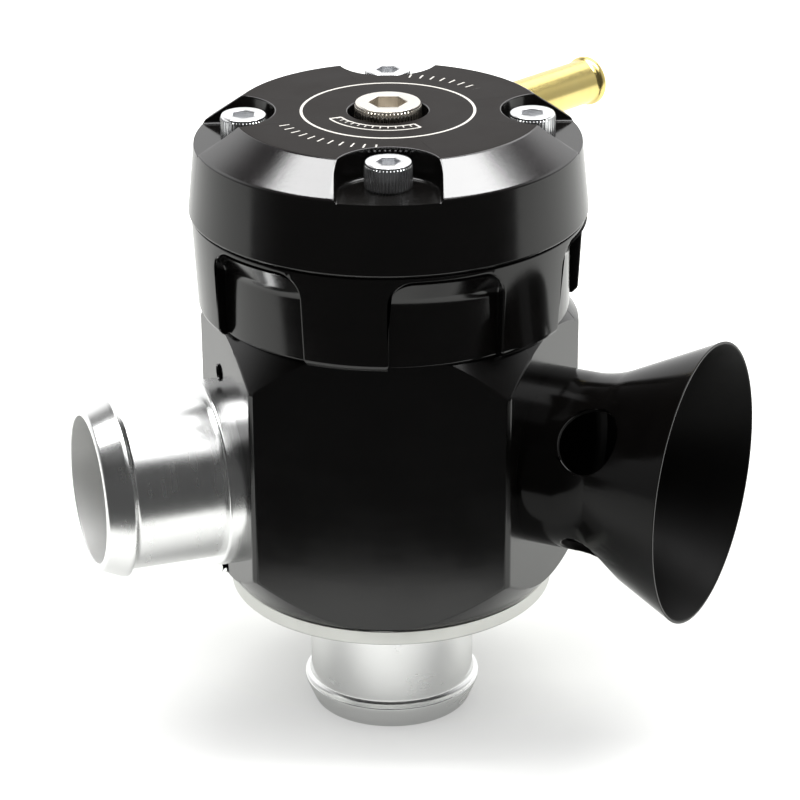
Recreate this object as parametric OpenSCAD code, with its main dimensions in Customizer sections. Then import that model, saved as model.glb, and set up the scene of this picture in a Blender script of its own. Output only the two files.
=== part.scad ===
// Blow off valve: spring-loaded piston valve with an inlet hose tail below, a recirculating hose tail
// and a trumpet at the sides, and a head that turns by hand to share the air between the two outlets.
// Millimetres. Z is the valve's axis, z = 0 is the end of the inlet tail, and -Y is the body's front flat.

/* [Heights] */
// Length of the inlet tail below its flange
inlet_len = 21.2; // [19:0.1:26]
// Thickness of the inlet flange
flange_t = 2.4; // [2.2:0.1:3.6]
// Height of the body between its end faces
body_h = 45.9; // [44:0.1:52]
// Height of the grip ring
ring_h = 15; // [14.2:0.1:18]
// Height of the cap from its joint to its top face
cap_h = 15.2; // [15:0.1:18]
// Height of the cap's tapered wall
cap_wall_h = 11.1; // [10.6:0.1:11.6]

/* [Body] */
// Distance from the axis to the front flat
front_flat = 25; // [24:0.1:26]
// Distance from the axis to the two port faces
port_face = 27; // [26.5:0.1:28]
// Angle of each port from the front flat
port_angle = 68; // [64:1:74]
// Turned radius of the two front corners
corner_r = 31.1; // [30.6:0.1:32]
// Radius of the round back
back_r = 28.8; // [28.4:0.1:29.4]
// Height of the turned cones at the body's ends
cone_h = 7.6; // [6:0.1:9]
// Radius of the inlet flange and of the body's end faces
flange_r = 25; // [24.8:0.1:26]
// Wall of the neck that the head turns on
neck_wall = 2.45; // [2.2:0.05:2.8]
// Height of the neck above the body's shoulder
neck_h = 7.9; // [7.6:0.1:8.4]
// Drop of the recirculating port's axis below the trumpet's
recirc_drop = 3.7; // [0:0.1:4.2]
// Distance of the two bracket holes above and below the recirculating port's axis
bracket_rise = 16.2; // [15.8:0.1:16.8]
// Depth of the bracket holes
bracket_depth = 8; // [5:0.5:9]

/* [Hose tails] */
// Outside diameter of both hose tails
tail_d = 25.6; // [24.6:0.1:26]
// Bore of both hose tails
tail_bore_d = 22.4; // [20:0.1:22.8]
// Rise of the barb above the tail
barb_rise = 1; // [0.6:0.1:1.5]
// Distance of the barb's crest from the tail's end
barb_at = 3.8; // [3:0.1:6]
// Distance from the valve's axis to the end of the recirculating tail
recirc_reach = 48; // [42:0.5:60]
// Thickness of the collar on the recirculating tail
collar_t = 2.8; // [2:0.1:4]
// Rise of that collar above the tail
collar_rise = 1.4; // [1:0.1:2]

/* [Trumpet] */
// Distance from the valve's axis to the bell's mouth
bell_reach = 51.5; // [46:0.5:60]
// Radius of the bell's mouth
bell_r = 21.3; // [19:0.1:24]
// Radius of the trumpet's neck
trumpet_neck_r = 13.5; // [13.4:0.1:14.5]
// Radius of the curve that opens the neck into the bell
flare_r = 25; // [20:0.5:30]
// Wall of the bell
bell_wall = 1.3; // [1:0.1:2]
// Diameter of the holes round the trumpet
whistle_d = 10; // [6:0.5:10.5]
// Distance of those holes from the valve's axis
whistle_at = 38; // [34:0.5:39]

/* [Head] */
// Radius of the cap at its lower edge
cap_r = 30; // [29.4:0.1:31.5]
// Radius of the cap where its wall meets the chamfer
cap_shoulder_r = 28.9; // [28.4:0.1:29.4]
// Radius of the cap's flat top face
cap_top_r = 23.1; // [22:0.1:25]
// Width of the four screw pockets in the cap
pocket_w = 15.4; // [12:0.1:17]
// Gap between a screw's head and the inner end of its pocket
pocket_gap = 1.1; // [0.5:0.1:2]
// Depth of the pocket floor below the cap's shoulder
pocket_drop = 0.4; // [0:0.1:0.6]
// Radius of the grip ring at its top
ring_r = 29.6; // [29.2:0.1:30]
// Radius of the grip ring at its lower edge
ring_low_r = 28.9; // [28.6:0.1:29.4]
// Width of each finger scallop
scallop_w = 17; // [12:0.5:20]
// Height of the rim left above each finger scallop
scallop_rim = 1.1; // [0.8:0.1:5]
// Depth of each finger scallop
scallop_depth = 1.6; // [0.8:0.1:2]
// Number of finger scallops
scallop_n = 6; // [4:1:8]
// Turn of the first scallop from the front screw
scallop_turn = 17; // [0:1:59]
// Turn of the head from the body's front flat
head_turn = 3.6; // [-30:0.1:30]
// Turn of the head each way from there
head_swing = 45; // [20:1:50]

/* [Vacuum nipple] */
// Outside diameter of the nipple
nipple_d = 6.9; // [5:0.1:7.2]
// Bore of the nipple
nipple_bore_d = 3.6; // [2.5:0.1:4]
// Distance from the axis to the nipple's tip
nipple_reach = 45; // [42:0.5:55]
// Height of the nipple's axis above the cap's joint
nipple_rise = 9.4; // [7.6:0.1:9.6]
// Depth of the nipple in the cap's wall
nipple_seat = 9; // [6:0.5:11]

/* [Piston] */
// Diameter of the piston
piston_d = 25.9; // [25.5:0.1:26.3]
// Wall of the piston's skirt
piston_wall = 2.05; // [1.8:0.05:2.4]
// Height of the piston
piston_h = 34.7; // [34:0.1:36]
// Thickness of the piston's crown
crown_t = 4.3; // [4:0.1:6]
// Wire diameter of the spring
wire_d = 1.8; // [1.4:0.1:2]
// Mean diameter of the spring
spring_d = 18; // [17.6:0.1:18.4]
// Turns of the spring
spring_turns = 9; // [6:1:12]
// Wall of the bias sleeve round the piston
sleeve_wall = 1.5; // [1.2:0.1:1.8]
// Width of the bias sleeve's window, as an angle
window_angle = 140; // [100:5:150]

/* [Fasteners] */
// Diameter of the cap screws
cap_screw_d = 4; // [3.5:0.1:4.2]
// Diameter of the cap screws' heads
cap_head_d = 7; // [6:0.1:7.4]
// Key size of the cap screws
cap_hex = 3; // [2.5:0.1:3.5]
// Length of the cap screws below their heads
cap_screw_len = 18; // [16:0.5:19]
// Diameter of the preload screw
preload_d = 6; // [5:0.1:6.4]
// Diameter of the preload screw's head
preload_head_d = 10; // [9:0.1:10.6]
// Height of the preload screw's head
preload_head_h = 6; // [5.6:0.1:6.4]
// Key size of the preload screw
preload_hex = 5; // [4:0.1:5.5]
// Preload screw's head above the cap's top face
preload_proud = 0.9; // [0.2:0.1:2]
// Travel of the preload screw each way
preload_travel = 2; // [1:0.1:2]
// Diameter of the flange screws
flange_screw_d = 3; // [2.5:0.1:3]
// Key size of the flange screws
flange_hex = 2; // [1.5:0.1:2.2]
// Length of the flange screws
flange_screw_len = 7; // [6:0.5:7.5]
// Number of cap screws and of flange screws
screw_n = 4; // [3:1:4]

/* [Fits] */
// Radial clearance of the running fits
run_fit = 0.05; // [0.02:0.01:0.08]
// Clearance of the fixed joints
seat_gap = 0.04; // [0.02:0.01:0.06]
// Clearance between the head and the body along the axis
turn_gap = 0.2; // [0.1:0.05:0.3]

/* [Hidden] */
$fn = 96;
// Reach of a cut past the face that it opens
over = 1;
// Steps in each drawn arc
arc_n = 10;
black = [0.09, 0.09, 0.1];
silver = [0.86, 0.86, 0.87];
zinc = [0.8, 0.83, 0.86];
nickel = [0.78, 0.76, 0.72];
gold = [0.86, 0.7, 0.34];
rubber = [0.12, 0.12, 0.12];

// Small edges
edge = 0.4;
ring_bevel = 0.8;
root_fillet = 0.8;
scallop_round = 3.3;
scallop_ledge = 3.6;
crest_w = 0.5;
tip_drop = 0.5;

// Fitted radii, from the piston outwards
piston_r = piston_d / 2;
sleeve_in = piston_r + run_fit;
sleeve_r = sleeve_in + sleeve_wall;
body_bore = sleeve_r + run_fit;
neck_r = body_bore + neck_wall;
ring_bore = neck_r + run_fit;
clip_reach = 0.9;
clip_clear = 0.2;
clip_r = neck_r + clip_reach;
clip_pocket_r = clip_r + clip_clear;
sleeve_ledge = 0.8;
head_bore = clip_pocket_r + sleeve_ledge;
head_spigot_r = head_bore - seat_gap;
cap_spigot_wall = 3.26;
chamber_r = head_spigot_r - cap_spigot_wall;
screw_wall = 0.5;
cap_screw_r = cap_screw_d / 2;
screw_circle = head_bore + screw_wall + cap_screw_r;

// Heights along the axis
z_flange = inlet_len;
z_body = z_flange + flange_t;
z_shoulder = z_body + body_h;
z_port = z_body + body_h / 2;
z_recirc = z_port - recirc_drop;
skirt = 2.2;
z_ring = z_shoulder - skirt;
z_cap = z_ring + ring_h;
z_neck = z_shoulder + neck_h;
z_cap_shoulder = z_cap + cap_wall_h;
z_top = z_cap + cap_h;
z_pocket = z_cap_shoulder - pocket_drop;
clip_t = 1.1;
clip_play = 0.05;
clip_land = 0.75;
z_clip = z_neck - clip_land - clip_t - clip_play;
z_sleeve_flange = z_neck + turn_gap;
sleeve_flange_t = 1.6;
z_spigot = z_sleeve_flange + sleeve_flange_t;

// Inlet flange's spigot and valve seat
spigot_h = 3.6;
spigot_step = 3.4;
spigot_r = body_bore + spigot_step;
spigot_gap = 0.4;
z_counterbore = z_body + spigot_h + spigot_gap;
seat_lip_h = 0.6;
seat_lip_w = 1;
z_seat = z_body + spigot_h;
z_sleeve = z_counterbore + turn_gap;
flange_screw_r = flange_screw_d / 2;
flange_head_r = flange_screw_d;
flange_screw_turn = 45;
flange_circle = (spigot_r + flange_r) / 2;

// Hose tails and ports
tail_r = tail_d / 2;
tail_bore = tail_bore_d / 2;
barb_r = tail_r + barb_rise;
tip_r = tail_r - tip_drop;
collar_r = tail_r + collar_rise;
thread_drop = 0.4;
thread_r = tail_r - thread_drop;
thread_len = 8;
thread_relief = 0.3;
port_step = 0.7;
port_bore = tail_bore - port_step;
port_seal_c = 0.38;
mouth_r = thread_r + 2 * port_seal_c + 2 * seat_gap;
mouth_depth = 2 * port_seal_c + seat_gap;
bracket_r = 1.25;
recirc_az = -90 - port_angle;
trumpet_az = -90 + port_angle;

// Trumpet's curve
flare_angle = acos(1 - (bell_r - trumpet_neck_r) / flare_r);
flare_at = bell_reach - flare_r * sin(flare_angle);
whistle_n = 4;
whistle_turn = 52;

// Seals
neck_seal_c = 0.6;
neck_groove_rise = 3;
neck_groove_z = z_shoulder + neck_groove_rise;
cap_seal_c = 0.75;
flange_seal_c = 0.75;
piston_seal_c = 0.6;
preload_seal_c = 0.6;
piston_groove_in = 2.6;
face_seal_t = 1;
face_seal_mid = tail_bore + seat_lip_w / 2;
face_seal_in = face_seal_mid - seat_lip_w;
face_seal_out = face_seal_mid + seat_lip_w;

// Screw heads
cap_head_r = cap_head_d / 2;
cap_head_h = cap_screw_d;
preload_r = preload_d / 2;
preload_head_r = preload_head_d / 2;
well_gap = 1;
preload_well_r = preload_head_r + well_gap;
z_preload_head = z_top + preload_proud - preload_head_h;
z_well = z_preload_head - preload_travel - turn_gap;
boss_wall = 4.5;
boss_r = preload_r + boss_wall;
chamber_roof = z_cap + nipple_rise + nipple_bore_d / 2 + turn_gap;
boss_h = 5.5;
z_boss = z_well - boss_h;
preload_groove_z = z_boss + boss_h / 2;

// Spring, its seat and the piston
z_piston = z_seat + seat_lip_h + run_fit;
z_piston_top = z_piston + piston_h;
cup_r = piston_r - piston_wall;
z_cup = z_piston + crown_t;
spring_r = spring_d / 2;
wire_r = wire_d / 2;
seat_disc_r = spring_r + wire_r / 2;
seat_disc_t = 2;
seat_hub_h = 3;
seat_guide_h = 4;
guide_gap = 0.5;
seat_guide_r = spring_r - wire_r - guide_gap;
seat_room = 1.2;
z_seat_top = z_boss - preload_travel - seat_room;
z_seat_disc = z_seat_top - seat_hub_h;
hub_wall = 2;
seat_hub_r = preload_r + hub_wall;
tip_depth = 2;
spring_play = 0.05;
spring_low = z_cup + spring_play;
spring_top = z_seat_disc - spring_play;
end_pitch = wire_d + spring_play;
wire_sides = 8;
rings_per_turn = 18;

// Stop pin and its arc
stop_pin_r = 1.25;
stop_depth = 6;
stop_rise = 2;
stop_wall = 2;
stop_circle = ring_bore + stop_wall + stop_pin_r;
stop_az = 90;

function arc(c, r, a0, a1, n = arc_n) =
    [for (i = [0:n]) c + r * [cos(a0 + (a1 - a0) * i / n), sin(a0 + (a1 - a0) * i / n)]];

// Outline of a hose tail in (radius, distance from its end), up to its root at len
function tail_outline(len) = concat(
    [[tail_bore, 0], [tip_r - edge, 0]],
    arc([tip_r - edge, edge], edge, -90, 0),
    [[barb_r, barb_at - crest_w / 2]],
    arc([barb_r, barb_at + crest_w / 2 + barb_rise], barb_rise, -90, -180),
    [[tail_r, len]]);

// Lays a shape drawn along Z from the valve's axis out along a port
module along_port(az) {
    translate([0, 0, az == recirc_az ? z_recirc : z_port]) rotate([0, 0, az]) rotate([0, 90, 0]) children();
}

module o_ring(r, c) {
    rotate_extrude() translate([r, 0]) circle(r = c, $fn = 32);
}

module round_pattern(n, r, turn = 0) {
    for (i = [0:n - 1]) rotate([0, 0, turn + i * 360 / n]) translate([r, 0, 0]) children();
}

module ring_solid(r_in, r_out, z0, z1) {
    translate([0, 0, z0]) difference() {
        cylinder(r = r_out, h = z1 - z0);
        translate([0, 0, -over]) cylinder(r = r_in, h = z1 - z0 + 2 * over);
    }
}

// Section of the body: front flat, two port faces, turned front corners and a round back
module body_section() {
    half_chord = sqrt(back_r * back_r - port_face * port_face);
    join_y = half_chord * sin(port_angle) - port_face * cos(port_angle);
    difference() {
        union() {
            circle(r = back_r);
            intersection() {
                circle(r = corner_r);
                translate([-corner_r, -corner_r]) square([2 * corner_r, corner_r + join_y]);
            }
        }
        translate([-corner_r, -front_flat - corner_r]) square([2 * corner_r, corner_r]);
        for (az = [recirc_az, trumpet_az])
            rotate(az) translate([port_face, -corner_r]) square(2 * corner_r);
    }
}

module main_body() {
    color(black) difference() {
        union() {
            intersection() {
                translate([0, 0, z_body]) linear_extrude(body_h) body_section();
                rotate_extrude() polygon([[0, z_body], [flange_r, z_body], [corner_r, z_body + cone_h],
                    [corner_r, z_shoulder - cone_h], [flange_r, z_shoulder], [0, z_shoulder]]);
            }
            translate([0, 0, z_port]) cylinder(r = neck_r, h = z_neck - z_port - edge);
            translate([0, 0, z_neck - edge]) cylinder(r1 = neck_r, r2 = neck_r - edge, h = edge);
        }
        translate([0, 0, z_body - over]) cylinder(r = body_bore, h = z_neck - z_body + 2 * over);
        translate([0, 0, z_body - over])
            cylinder(r = spigot_r + seat_gap, h = z_counterbore - z_body + over);
        neck_groove();
        clip_groove();
        for (az = [recirc_az, trumpet_az]) along_port(az) port_cut();
        for (rise = [-bracket_rise, bracket_rise]) translate([0, 0, rise]) along_port(recirc_az)
            translate([0, 0, port_face - bracket_depth]) cylinder(r = bracket_r, h = bracket_depth + over);
        round_pattern(screw_n, flange_circle, flange_screw_turn) translate([0, 0, z_body - over])
            cylinder(r = flange_screw_r + seat_gap, h = flange_screw_len - flange_t + 2 * over);
        rotate([0, 0, stop_az]) translate([stop_circle, 0, z_shoulder - stop_depth])
            cylinder(r = stop_pin_r + seat_gap, h = stop_depth + over);
    }
}

// Threaded mouth, seal recess and passage of a port
module port_cut() {
    cylinder(r = port_bore, h = port_face);
    translate([0, 0, port_face - thread_len - thread_relief])
        cylinder(r = thread_r + seat_gap, h = thread_len + thread_relief + over);
    translate([0, 0, port_face - mouth_depth]) cylinder(r = mouth_r, h = mouth_depth + over);
}

module neck_groove() {
    ring_solid(neck_r - 2 * neck_seal_c, neck_r + over, neck_groove_z - neck_seal_c - seat_gap,
        neck_groove_z + neck_seal_c + seat_gap);
}

module clip_groove() {
    ring_solid(neck_r - clip_reach, neck_r + over, z_clip, z_clip + clip_t + clip_play);
}

module neck_o_ring() {
    color(rubber) translate([0, 0, neck_groove_z]) o_ring(neck_r - neck_seal_c, neck_seal_c);
}

module neck_circlip() {
    gap_angle = 40;
    color(zinc) translate([0, 0, z_clip + clip_play]) rotate([0, 0, stop_az + gap_angle / 2])
        rotate_extrude(angle = 360 - gap_angle)
            translate([neck_r - clip_reach + seat_gap, 0])
                square([2 * clip_reach - seat_gap, clip_t - clip_play]);
}

module stop_pin() {
    color(zinc) rotate([0, 0, stop_az]) translate([stop_circle, 0, z_shoulder - stop_depth])
        cylinder(r = stop_pin_r, h = stop_depth + stop_rise, $fn = 32);
}

module inlet_flange() {
    groove_z = z_body + spigot_h / 2;
    color(silver) difference() {
        rotate_extrude() polygon(concat(
            tail_outline(z_flange - root_fillet),
            arc([tail_r + root_fillet, z_flange - root_fillet], root_fillet, 180, 90),
            [[flange_r - edge / 2, z_flange], [flange_r, z_flange + edge / 2], [flange_r, z_body - edge / 2],
                [flange_r - edge / 2, z_body], [spigot_r, z_body], [spigot_r, z_seat - edge],
                [spigot_r - edge, z_seat], [tail_bore + seat_lip_w, z_seat],
                [tail_bore + seat_lip_w, z_seat + seat_lip_h], [tail_bore, z_seat + seat_lip_h]]));
        ring_solid(spigot_r - 2 * flange_seal_c, spigot_r + over, groove_z - flange_seal_c - seat_gap,
            groove_z + flange_seal_c + seat_gap);
        round_pattern(screw_n, flange_circle, flange_screw_turn) {
            translate([0, 0, z_flange - over])
                cylinder(r = flange_screw_r + seat_gap, h = flange_t + 2 * over);
            translate([0, 0, z_flange - seat_gap])
                cylinder(r1 = flange_head_r + 2 * seat_gap, r2 = flange_screw_r + seat_gap,
                    h = flange_head_r - flange_screw_r + seat_gap);
        }
    }
}

module flange_o_ring() {
    color(rubber) translate([0, 0, z_body + spigot_h / 2]) o_ring(spigot_r - flange_seal_c, flange_seal_c);
}

module flange_screws() {
    hex_depth = 1.2;
    color(zinc) round_pattern(screw_n, flange_circle, flange_screw_turn) translate([0, 0, z_flange])
    difference() {
        union() {
            cylinder(r = flange_screw_r, h = flange_screw_len);
            cylinder(r1 = flange_head_r, r2 = flange_screw_r, h = flange_head_r - flange_screw_r);
        }
        translate([0, 0, -over]) cylinder(r = flange_hex / sqrt(3), h = hex_depth + over, $fn = 6);
    }
}

// Hose tail laid out from its end towards the valve's axis
module recirc_tail() {
    face = recirc_reach - port_face;
    root = face - collar_t;
    end = face + thread_len;
    color(silver) along_port(recirc_az) translate([0, 0, recirc_reach]) mirror([0, 0, 1])
        rotate_extrude() polygon(concat(
            tail_outline(root),
            [[collar_r - edge, root], [collar_r, root + edge], [collar_r, face], [thread_r, face],
                [thread_r, end - edge], [thread_r - edge, end], [tail_bore, end]]));
}

module port_o_ring(az) {
    color(rubber) along_port(az) translate([0, 0, port_face - port_seal_c - seat_gap])
        o_ring(thread_r + seat_gap + port_seal_c, port_seal_c);
}

module recirc_o_ring() {
    port_o_ring(recirc_az);
}

module trumpet_o_ring() {
    port_o_ring(trumpet_az);
}

module trumpet() {
    z_thread = port_face - thread_len;
    centre = [trumpet_neck_r + flare_r, flare_at];
    color(black) along_port(trumpet_az) difference() {
        rotate_extrude() polygon(concat(
            [[tail_bore, z_thread], [thread_r - edge, z_thread], [thread_r, z_thread + edge],
                [thread_r, port_face], [trumpet_neck_r, port_face]],
            arc(centre, flare_r, 180, 180 - flare_angle, 2 * arc_n),
            arc(centre, flare_r + bell_wall, 180 - flare_angle, 180, 2 * arc_n),
            [[tail_bore, flare_at - (trumpet_neck_r - bell_wall - tail_bore)]]));
        for (i = [0:whistle_n - 1]) translate([0, 0, whistle_at])
            rotate([0, 0, whistle_turn + i * 360 / whistle_n]) rotate([0, 90, 0])
                cylinder(d = whistle_d, h = bell_r);
    }
}

// Everything that turns with the head
module on_head() {
    rotate([0, 0, head_turn - 90]) children();
}

module scallop_cutter() {
    low_r = min(ring_r, ring_low_r) - scallop_depth;
    z_edge = z_cap - scallop_rim;
    scallop_h = z_edge - z_ring;
    intersection() {
        rotate_extrude() polygon([[low_r, z_ring - over], [low_r, z_edge - scallop_ledge],
            [ring_r, z_edge + edge], [ring_r + over, z_edge + edge], [ring_r + over, z_ring - over]]);
        rotate([90, 0, 90]) linear_extrude(ring_r + over) {
            translate([-scallop_w / 2, z_ring - over])
                square([scallop_w, scallop_h + over - scallop_round]);
            translate([scallop_round - scallop_w / 2, z_ring])
                square([scallop_w - 2 * scallop_round, scallop_h]);
            for (side = [-1, 1])
                translate([side * (scallop_w / 2 - scallop_round), z_edge - scallop_round])
                    circle(r = scallop_round);
        }
    }
}

module grip_ring() {
    skirt_wall = 0.9;
    skirt_bore = ring_low_r - ring_bevel - skirt_wall;
    color(black) on_head() difference() {
        rotate_extrude() polygon([[ring_bore, z_shoulder + turn_gap], [skirt_bore, z_shoulder + turn_gap],
            [skirt_bore, z_ring], [ring_low_r - ring_bevel, z_ring], [ring_low_r, z_ring + ring_bevel],
            [ring_r, z_cap - edge], [ring_r - edge, z_cap], [head_bore, z_cap], [head_bore, z_sleeve_flange],
            [clip_pocket_r, z_sleeve_flange], [clip_pocket_r, z_clip], [ring_bore, z_clip]]);
        for (i = [0:scallop_n - 1]) rotate([0, 0, scallop_turn + i * 360 / scallop_n]) scallop_cutter();
        round_pattern(screw_n, screw_circle) translate([0, 0, z_pocket - cap_screw_len - over])
            cylinder(r = cap_screw_r + seat_gap, h = cap_screw_len + 2 * over);
        stop_arc();
    }
}

// Arc in the ring's underside that the stop pin runs in
module stop_arc() {
    half_w = stop_pin_r + turn_gap;
    half_angle = head_swing + asin(half_w / stop_circle);
    rotate([0, 0, stop_az - head_turn + 90 - half_angle]) translate([0, 0, z_shoulder])
        rotate_extrude(angle = 2 * half_angle) translate([stop_circle - half_w, 0])
            square([2 * half_w, stop_rise + turn_gap]);
}

module bias_sleeve() {
    color(silver) on_head() difference() {
        union() {
            ring_solid(sleeve_in, sleeve_r, z_sleeve, z_spigot);
            ring_solid(sleeve_in, head_spigot_r, z_sleeve_flange, z_spigot);
        }
        rotate([0, 0, -window_angle / 2]) translate([0, 0, z_recirc - port_bore])
            rotate_extrude(angle = window_angle) translate([sleeve_in - over, 0])
                square([sleeve_wall + 2 * over, 2 * port_bore + recirc_drop]);
    }
}

module screw_pocket() {
    pocket_r = pocket_w / 2;
    centre = screw_circle - cap_head_r - pocket_gap + pocket_r;
    translate([centre, 0, z_pocket]) cylinder(r = pocket_r, h = cap_h);
    translate([centre, -pocket_r, z_pocket]) cube([cap_r, pocket_w, cap_h]);
}

module top_cap() {
    groove_z = (z_spigot + z_cap) / 2;
    color(black) on_head() difference() {
        rotate_extrude() polygon([[boss_r, z_boss], [boss_r, chamber_roof], [chamber_r, chamber_roof],
            [chamber_r, z_spigot], [head_spigot_r, z_spigot], [head_spigot_r, z_cap], [cap_r - edge, z_cap],
            [cap_r, z_cap + edge], [cap_shoulder_r, z_cap_shoulder], [cap_top_r, z_top], [0, z_top],
            [0, z_boss]]);
        translate([0, 0, z_well]) cylinder(r = preload_well_r, h = cap_h);
        translate([0, 0, z_boss - over]) cylinder(r = preload_r + run_fit, h = cap_h);
        preload_groove();
        ring_solid(head_spigot_r - 2 * cap_seal_c, head_spigot_r + over, groove_z - cap_seal_c - seat_gap,
            groove_z + cap_seal_c + seat_gap);
        round_pattern(screw_n, screw_circle) translate([0, 0, z_cap - over])
            cylinder(r = cap_screw_r + turn_gap, h = cap_h);
        for (i = [0:screw_n - 1]) rotate([0, 0, i * 360 / screw_n]) screw_pocket();
        on_nipple() translate([0, 0, cap_r - nipple_seat]) cylinder(r = nipple_d / 2 + seat_gap, h = cap_r);
        on_nipple() cylinder(r = nipple_bore_d / 2, h = cap_r);
    }
}

module preload_groove() {
    translate([0, 0, preload_groove_z - preload_seal_c - seat_gap])
        cylinder(r = preload_r + run_fit + 2 * preload_seal_c, h = 2 * (preload_seal_c + seat_gap));
}

module preload_o_ring() {
    color(rubber) on_head() translate([0, 0, preload_groove_z])
        o_ring(preload_r + run_fit + preload_seal_c, preload_seal_c);
}

module cap_o_ring() {
    color(rubber) on_head() translate([0, 0, (z_spigot + z_cap) / 2])
        o_ring(head_spigot_r - cap_seal_c, cap_seal_c);
}

module socket_screw(shank_r, len, head_r, head_h, hex) {
    difference() {
        union() {
            translate([0, 0, -len]) cylinder(r = shank_r, h = len);
            cylinder(r = head_r, h = head_h - edge);
            translate([0, 0, head_h - edge]) cylinder(r1 = head_r, r2 = head_r - edge, h = edge);
        }
        translate([0, 0, head_h / 2]) cylinder(r = hex / sqrt(3), h = head_h, $fn = 6);
    }
}

module cap_screws() {
    color(zinc) on_head() round_pattern(screw_n, screw_circle) translate([0, 0, z_pocket])
        socket_screw(cap_screw_r, cap_screw_len, cap_head_r, cap_head_h, cap_hex);
}

module preload_screw() {
    color(nickel) on_head() translate([0, 0, z_preload_head])
        socket_screw(preload_r, z_preload_head - z_seat_top + tip_depth, preload_head_r, preload_head_h,
            preload_hex);
}

// Lays a shape drawn along Z from the axis out along the nipple, between two screws
module on_nipple() {
    translate([0, 0, z_cap + nipple_rise]) rotate([0, 0, 180 - 180 / screw_n]) rotate([0, 90, 0])
        children();
}

module vacuum_nipple() {
    nipple_r = nipple_d / 2;
    lip = 0.4;
    lip_t = 1.2;
    low = cap_r - nipple_seat;
    bore = nipple_bore_d / 2;
    color(gold) on_head() on_nipple() rotate_extrude() polygon(concat(
        [[bore, low], [nipple_r, low], [nipple_r, nipple_reach - lip_t - lip]],
        arc([nipple_r, nipple_reach - lip_t], lip, -90, 0),
        arc([nipple_r, nipple_reach - lip], lip, 0, 90),
        [[bore + edge, nipple_reach], [bore, nipple_reach - edge]]));
}

module spring_seat() {
    color(zinc) difference() {
        union() {
            translate([0, 0, z_seat_disc]) cylinder(r = seat_disc_r, h = seat_disc_t);
            translate([0, 0, z_seat_disc]) cylinder(r = seat_hub_r, h = seat_hub_h);
            translate([0, 0, z_seat_disc - seat_guide_h])
                cylinder(r1 = seat_guide_r - edge, r2 = seat_guide_r, h = seat_guide_h);
        }
        translate([0, 0, z_seat_top - tip_depth]) cylinder(r = preload_r + run_fit, h = tip_depth + over);
    }
}

// Height of the spring's centre line after a number of turns: the end turns are closed
function spring_climb(turn, rise) =
    turn < 1 ? end_pitch * turn :
    turn > spring_turns - 1 ? rise - end_pitch * (spring_turns - turn) :
    end_pitch + (rise - 2 * end_pitch) * (turn - 1) / (spring_turns - 2);

// Helical spring with closed ends, swept as rings of points along its centre line
module piston_spring() {
    ring_n = spring_turns * rings_per_turn;
    rise = spring_top - spring_low - 2 * wire_r;
    points = [for (i = [0:ring_n], k = [0:wire_sides - 1])
        let (turn = i / rings_per_turn, b = k * 360 / wire_sides, r = spring_r + wire_r * cos(b))
        [r * cos(360 * turn), r * sin(360 * turn),
            spring_low + wire_r + spring_climb(turn, rise) + wire_r * sin(b)]];
    sides = [for (i = [0:ring_n - 1], k = [0:wire_sides - 1])
        let (p = i * wire_sides, q = p + wire_sides, n = (k + 1) % wire_sides)
        [p + k, p + n, q + n, q + k]];
    ends = [[for (k = [wire_sides - 1:-1:0]) k], [for (k = [0:wire_sides - 1]) ring_n * wire_sides + k]];
    color(zinc) polyhedron(points, concat(sides, ends));
}

function piston_groove_z(i) = i == 0 ? z_piston + piston_groove_in : z_piston_top - piston_groove_in;

module piston() {
    half_groove = piston_seal_c + seat_gap;
    color(silver) difference() {
        translate([0, 0, z_piston]) cylinder(r = piston_r, h = piston_h);
        translate([0, 0, z_cup]) cylinder(r = cup_r, h = piston_h);
        for (i = [0:1])
            translate([0, 0, piston_groove_z(i)])
                ring_solid(piston_r - 2 * piston_seal_c, piston_r + over, -half_groove, half_groove);
        ring_solid(face_seal_in, face_seal_out, z_piston - over, z_piston + face_seal_t);
    }
}

module piston_o_rings() {
    color(rubber) for (i = [0:1]) translate([0, 0, piston_groove_z(i)])
        o_ring(piston_r - piston_seal_c, piston_seal_c);
}

module piston_seal() {
    color(rubber) ring_solid(face_seal_in + seat_gap, face_seal_out - seat_gap, z_piston,
        z_piston + face_seal_t - seat_gap);
}

main_body();
inlet_flange();
flange_o_ring();
flange_screws();
recirc_tail();
recirc_o_ring();
trumpet();
trumpet_o_ring();
neck_o_ring();
neck_circlip();
stop_pin();
grip_ring();
bias_sleeve();
top_cap();
cap_o_ring();
cap_screws();
vacuum_nipple();
preload_o_ring();
preload_screw();
spring_seat();
piston_spring();
piston();
piston_o_rings();
piston_seal();
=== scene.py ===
"""Looks of a blow off valve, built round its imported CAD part.

The valve stands on its inlet tail: a milled and turned black body, a head that turns on it, two outlets
and a gold vacuum nipple. Shapes are drawn in millimetres and handed over in metres.
"""
import logging
import math
from dataclasses import dataclass
from enum import Enum
from typing import Callable, Iterable, Optional, Union

import bmesh
import bpy
from mathutils import Matrix, Vector


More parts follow.
